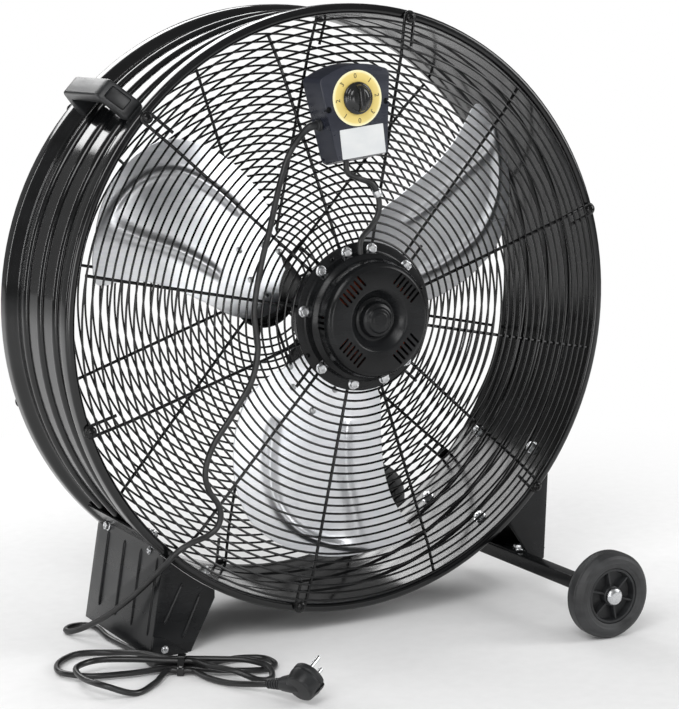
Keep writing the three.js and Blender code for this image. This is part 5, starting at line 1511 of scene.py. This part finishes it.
def cord_points():
    """The cord point by point from the box to the tie, then its loops, then the way to the plug."""
    entry_x = side_of_box(ENTRY_Y) - 5.3
    route = [
        *(ON_BOX @ Vector((entry_x + x, ENTRY_Y, ENTRY_Z)) for x in (8, 0, -9)),
        on_grille(-90, 553, 1), on_grille(-102, 522), on_grille(-116, 471), on_grille(-128, 428),
        on_grille(-136, 380), on_grille(-132, 338), on_grille(-139, 306), on_grille(-163, 268),
        on_grille(-187, 234), on_grille(-195, 206), on_grille(-190, 186), on_grille(-180, 171),
        on_grille(-176.5, 158), on_grille(-181, 144.5), on_grille(-193, 136),
        on_grille(-210, 130.5, 1), (-225, -114, 122.5), (-235, -106, 109), (-244, -89, 90),
        (-252, -70, 72), (-260, -50, 55), (-269, -30, 39), (-279, -9, 24), (-289, 11, 12),
        (-297, 26, 5.5), (-298, 39, ON_FLOOR), (-289, 49, ON_FLOOR), (-275, 50, ON_FLOOR),
        (-265, 41, ON_FLOOR), (-263, 25, ON_FLOOR), (-266, -5, ON_FLOOR), (-264, -40, ON_FLOOR),
        (-260.5, -72, ON_FLOOR), (-260.5, -100, ON_FLOOR), (-264, -124, CORD / 2 + 1),
        in_tie(0, -HALF_WAIST - 8 - CORD), in_tie(0, -HALF_WAIST - 8 + CORD),
        in_tie(0, -HALF_WAIST + 4), in_tie(0, 0), in_tie(0, HALF_WAIST),
    ]
    for number in range(len(LOOPS)):
        route += [loop_point(number, t) for t in (0.1, 0.22, 0.36, 0.5, 0.64, 0.78, 0.9)]
        end = HALF_WAIST if number % 2 == 0 else -HALF_WAIST
        route += [in_tie(number + 1, along) for along in (end, 0, -end)]
    route += [(-231, -196, CORD / 2 + 0.8), (-219, -226, CORD / 2 + 1.4)]
    route += [plug_point(RELIEF_END + 7), plug_point(RELIEF_END - 8)]
    return route


def cord_tie():
    """A short strap wound round the strands and pulled tight."""
    side = LANE + CORD / 2 + 0.6
    top = strand_height(1) + CORD / 2 + 0.3
    knee = strand_height(0) + CORD / 2 + 0.6
    loop = [(-side, 1.2), (side, 1.2), (side, top - 1.5), (side - 2, top), (-4.4, top),
            (-side, knee)]
    outside = rounded([(x * 1.09, 1.1 + (z - 1.1) * 1.1 - 0.9 * (z < 2)) for x, z in loop], 2.5, 4)
    band = placed(slab(outside, 7), shifted(0, 0, -3.5))
    bore = placed(slab(rounded(loop, 2.5, 4), 12), shifted(0, 0, -6))
    strap = soften(carved(band, bore), 0.35, 2, 50)
    knot = soften(block((-6, top + 0.4, -4.5), (6, top + 3.4, 4.5)), 1.2, 3)
    tail = placed(soften(block((0, -0.6, -2.6), (17, 0.6, 2.6)), 0.5, 2),
                  shifted(3, top + 2.2, 0) @ Matrix.Rotation(rad(-42), 4, "Z"))
    x = Vector((-math.sin(HANK_AXIS), math.cos(HANK_AXIS), 0))
    z = x.cross(Vector((0, 0, 1)))
    return placed(merged(strap, knot, tail), axes(x, (0, 0, 1), z, TIE))


# ---- Plug ----


def face_line():
    """The direction from one pin to the other."""
    line = PIN_AXIS.cross(PLUG_AXIS).normalized()
    return Matrix.Rotation(rad(25), 3, PIN_AXIS) @ line


def pin_place(side, out):
    return PLUG_HEAD + PIN_AXIS * out + face_line() * side * PIN_OFFSET


def plug_body():
    """An elbow: a round pin face, a shoulder that narrows to the neck, and a slotted relief."""
    face = [(0, -10), (14.5, -10), (16.2, -8.6), (18.2, 2), (18.2, 4), (17.2, 4.6), (17.2, 5.8),
            (18.2, 6.4), (18.2, 11), (17.2, 12), (0, 12)]
    head = placed(lathe(face, 0.6, 2, 64), facing(PLUG_HEAD, PIN_AXIS))
    neck_profile = [(0, 2), (10.5, 2), (10.2, 14), (8.4, 25), (7.2, 31), (0, 31)]
    neck = placed(lathe(neck_profile, 3, 4, 40), facing(PLUG_HEAD, -PLUG_AXIS))
    sleeve = [(0, 29)]
    for i in range(5):
        start = 31 + i * 3.9
        size = 6.6 - i * 0.42
        slit = size - 1.5
        sleeve += [(size, start), (size, start + 2.3), (slit, start + 2.6), (slit, start + 3.7)]
    sleeve += [(4.3, RELIEF_END), (0, RELIEF_END)]
    relief = placed(turned(sleeve, 28), facing(PLUG_HEAD, -PLUG_AXIS))
    whole = merged(head, neck, relief)
    floor = block((-400, -500, -30), (0, -100, 0.3))
    across = face_line()
    beside = across.cross(PIN_AXIS)
    cutters = [floor]
    for side in (-1, 1):
        cutters.append(rod(pin_place(side, 3), pin_place(side, 14), 2.7))
        spot = axes(across, PIN_AXIS, side * beside, PLUG_HEAD + side * beside * 18.5)
        cutters.append(placed(block((-3, -20, -2.2), (3, 20, 4)), spot))
    return carved(whole, *cutters)


def plug_pin(side):
    """A round pin with a domed end."""
    profile = [(0, 0), (2.4, 0), (2.4, 25.4), (1.9, 26.4), (0.9, 26.8), (0, 26.8)]
    return placed(turned(profile, 24), facing(pin_place(side, 4.3), PIN_AXIS))


cord_path = smooth_route(cord_points(), 2.5)
relief = [(*point, 1.4 - 0.4 * i / 9) for i, point in enumerate(cord_path[4:14])]
finished("cord_entry_relief", wire([relief], CORD / 2, 20), GREY_PLASTIC)
cord = finished("mains_cord", wire([cord_path], CORD / 2, 14), SHEATH, ["cord", "hank"])
tie = finished("strap_tie", cord_tie(), GLOSS_PLASTIC, ["cord_tie"])
plug = finished("angled_plug", plug_body(), (GREY_PLASTIC[0], "cord_sheath"), ["plug_body"])
pins = [
    finished(f"round_pin_{number}", plug_pin(side), BRIGHT_PIN, [f"plug_pin_{number}"])
    for number, side in ((1, -1), (2, 1))
]


def length_of(path):
    return sum((b - a).length for a, b in zip(path, path[1:])) / 1000


length_of(cord_path)
length_of(motor_lead_path)

# ---- Solids that are shown as they are ----

SHOWN = {"rear_bearing": ZINC, "front_bearing": ZINC, "rotary_switch": GREY_PLASTIC}
for name, (material, slot) in SHOWN.items():
    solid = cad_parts[name]
    solid.data.materials.clear()
    solid.data.materials.append(material)

# ---- Floor, light and camera ----


def floor_finish():
    """Pale paper that keeps the shadow near the fan and fades to white round it."""
    material = bpy.data.materials.new("Pale Floor")
    tree = empty_tree(material)
    place = node(tree, "ShaderNodeTexCoord").outputs["Object"]
    fade = levels(tree, length_from(tree, place, (100, 0, 0)), 0.0, 1.0, 0.55, 1.15)
    fibre = ramp(tree, noise(tree, place, 60, 4.0), (0.3, grey(0.84)), (0.7, grey(0.87)))
    paper = node(tree, "ShaderNodeBsdfDiffuse", {"Color": fibre}).outputs["BSDF"]
    glow = {"Color": (1, 1, 1, 1), "Strength": 1.0}
    white = node(tree, "ShaderNodeEmission", glow).outputs["Emission"]
    seen = node(tree, "ShaderNodeLightPath").outputs
    share = maths(tree, "MULTIPLY", fade, seen["Is Camera Ray"])
    mixed = node(tree, "ShaderNodeMixShader", {"Fac": share, 1: paper, 2: white})
    node(tree, "ShaderNodeOutputMaterial", {"Surface": mixed.outputs["Shader"]})
    return material


def floor():
    shape = bmesh.new()
    bmesh.ops.create_circle(shape, cap_ends=True, segments=64, radius=6)
    mesh = as_mesh(shape, "floor")
    mesh.materials.append(floor_finish())
    linked(bpy.data.objects.new("floor", mesh))


def softbox(name, place, aim, size, energy):
    light = bpy.data.lights.new(name, "AREA")
    light.shape = "RECTANGLE"
    light.size, light.size_y = size
    light.energy = energy
    lamp = linked(bpy.data.objects.new(name, light))
    lamp.location = place
    lamp.rotation_euler = (Vector(aim) - Vector(place)).to_track_quat("-Z", "Y").to_euler()
    lamp.visible_camera = False


def surroundings():
    """White to the camera, and dimmer in reflections so that the blacks stay black."""
    world = bpy.data.worlds.new("studio")
    bpy.context.scene.world = world
    tree = empty_tree(world)
    seen = node(tree, "ShaderNodeLightPath").outputs
    direct = maths(tree, "MAXIMUM", seen["Is Camera Ray"], seen["Is Transmission Ray"])
    soft = levels(tree, seen["Is Glossy Ray"], 0.55, 0.22, 0, 1)
    strength = maths(tree, "MAXIMUM", soft, direct)
    sky = node(tree, "ShaderNodeBackground", {"Color": (1, 1, 1, 1), "Strength": strength})
    node(tree, "ShaderNodeOutputWorld", {"Surface": sky.outputs["Background"]})


def camera():
    data = bpy.data.cameras.new("camera")
    data.sensor_fit = "VERTICAL"
    data.sensor_height = 36
    data.sensor_width = 36
    data.lens = FOCAL_LENGTH * 36 / PICTURE_HEIGHT
    piece = linked(bpy.data.objects.new("camera", data))
    piece.location = (-1.1333, -2.1142, 0.6948)
    piece.rotation_euler = (math.pi / 2 - 0.161, 0, -0.506)
    bpy.context.scene.camera = piece


floor()
surroundings()
softbox("key", (-2.0, -2.2, 2.6), (0, 0, 0.35), (1.6, 1.6), 50)
softbox("right box", (2.4, -1.6, 1.4), (0, 0, 0.35), (1.2, 1.6), 32)
softbox("back box", (0.1, 2.6, 2.2), (-0.1, 0, 0.5), (2.2, 1.4), 50)
softbox("left strip", (-2.4, 1.6, 1.2), (-0.2, 0, 0.35), (0.25, 1.8), 12)
softbox("edge strip", (-2.5, -1.4, 0.5), (0, 0, 0.4), (0.4, 1.4), 14)
softbox("front box", (-0.8, -2.9, 0.35), (0, 0, 0.25), (1.3, 0.7), 12)
camera()
bpy.context.scene.view_settings.view_transform = "Standard"
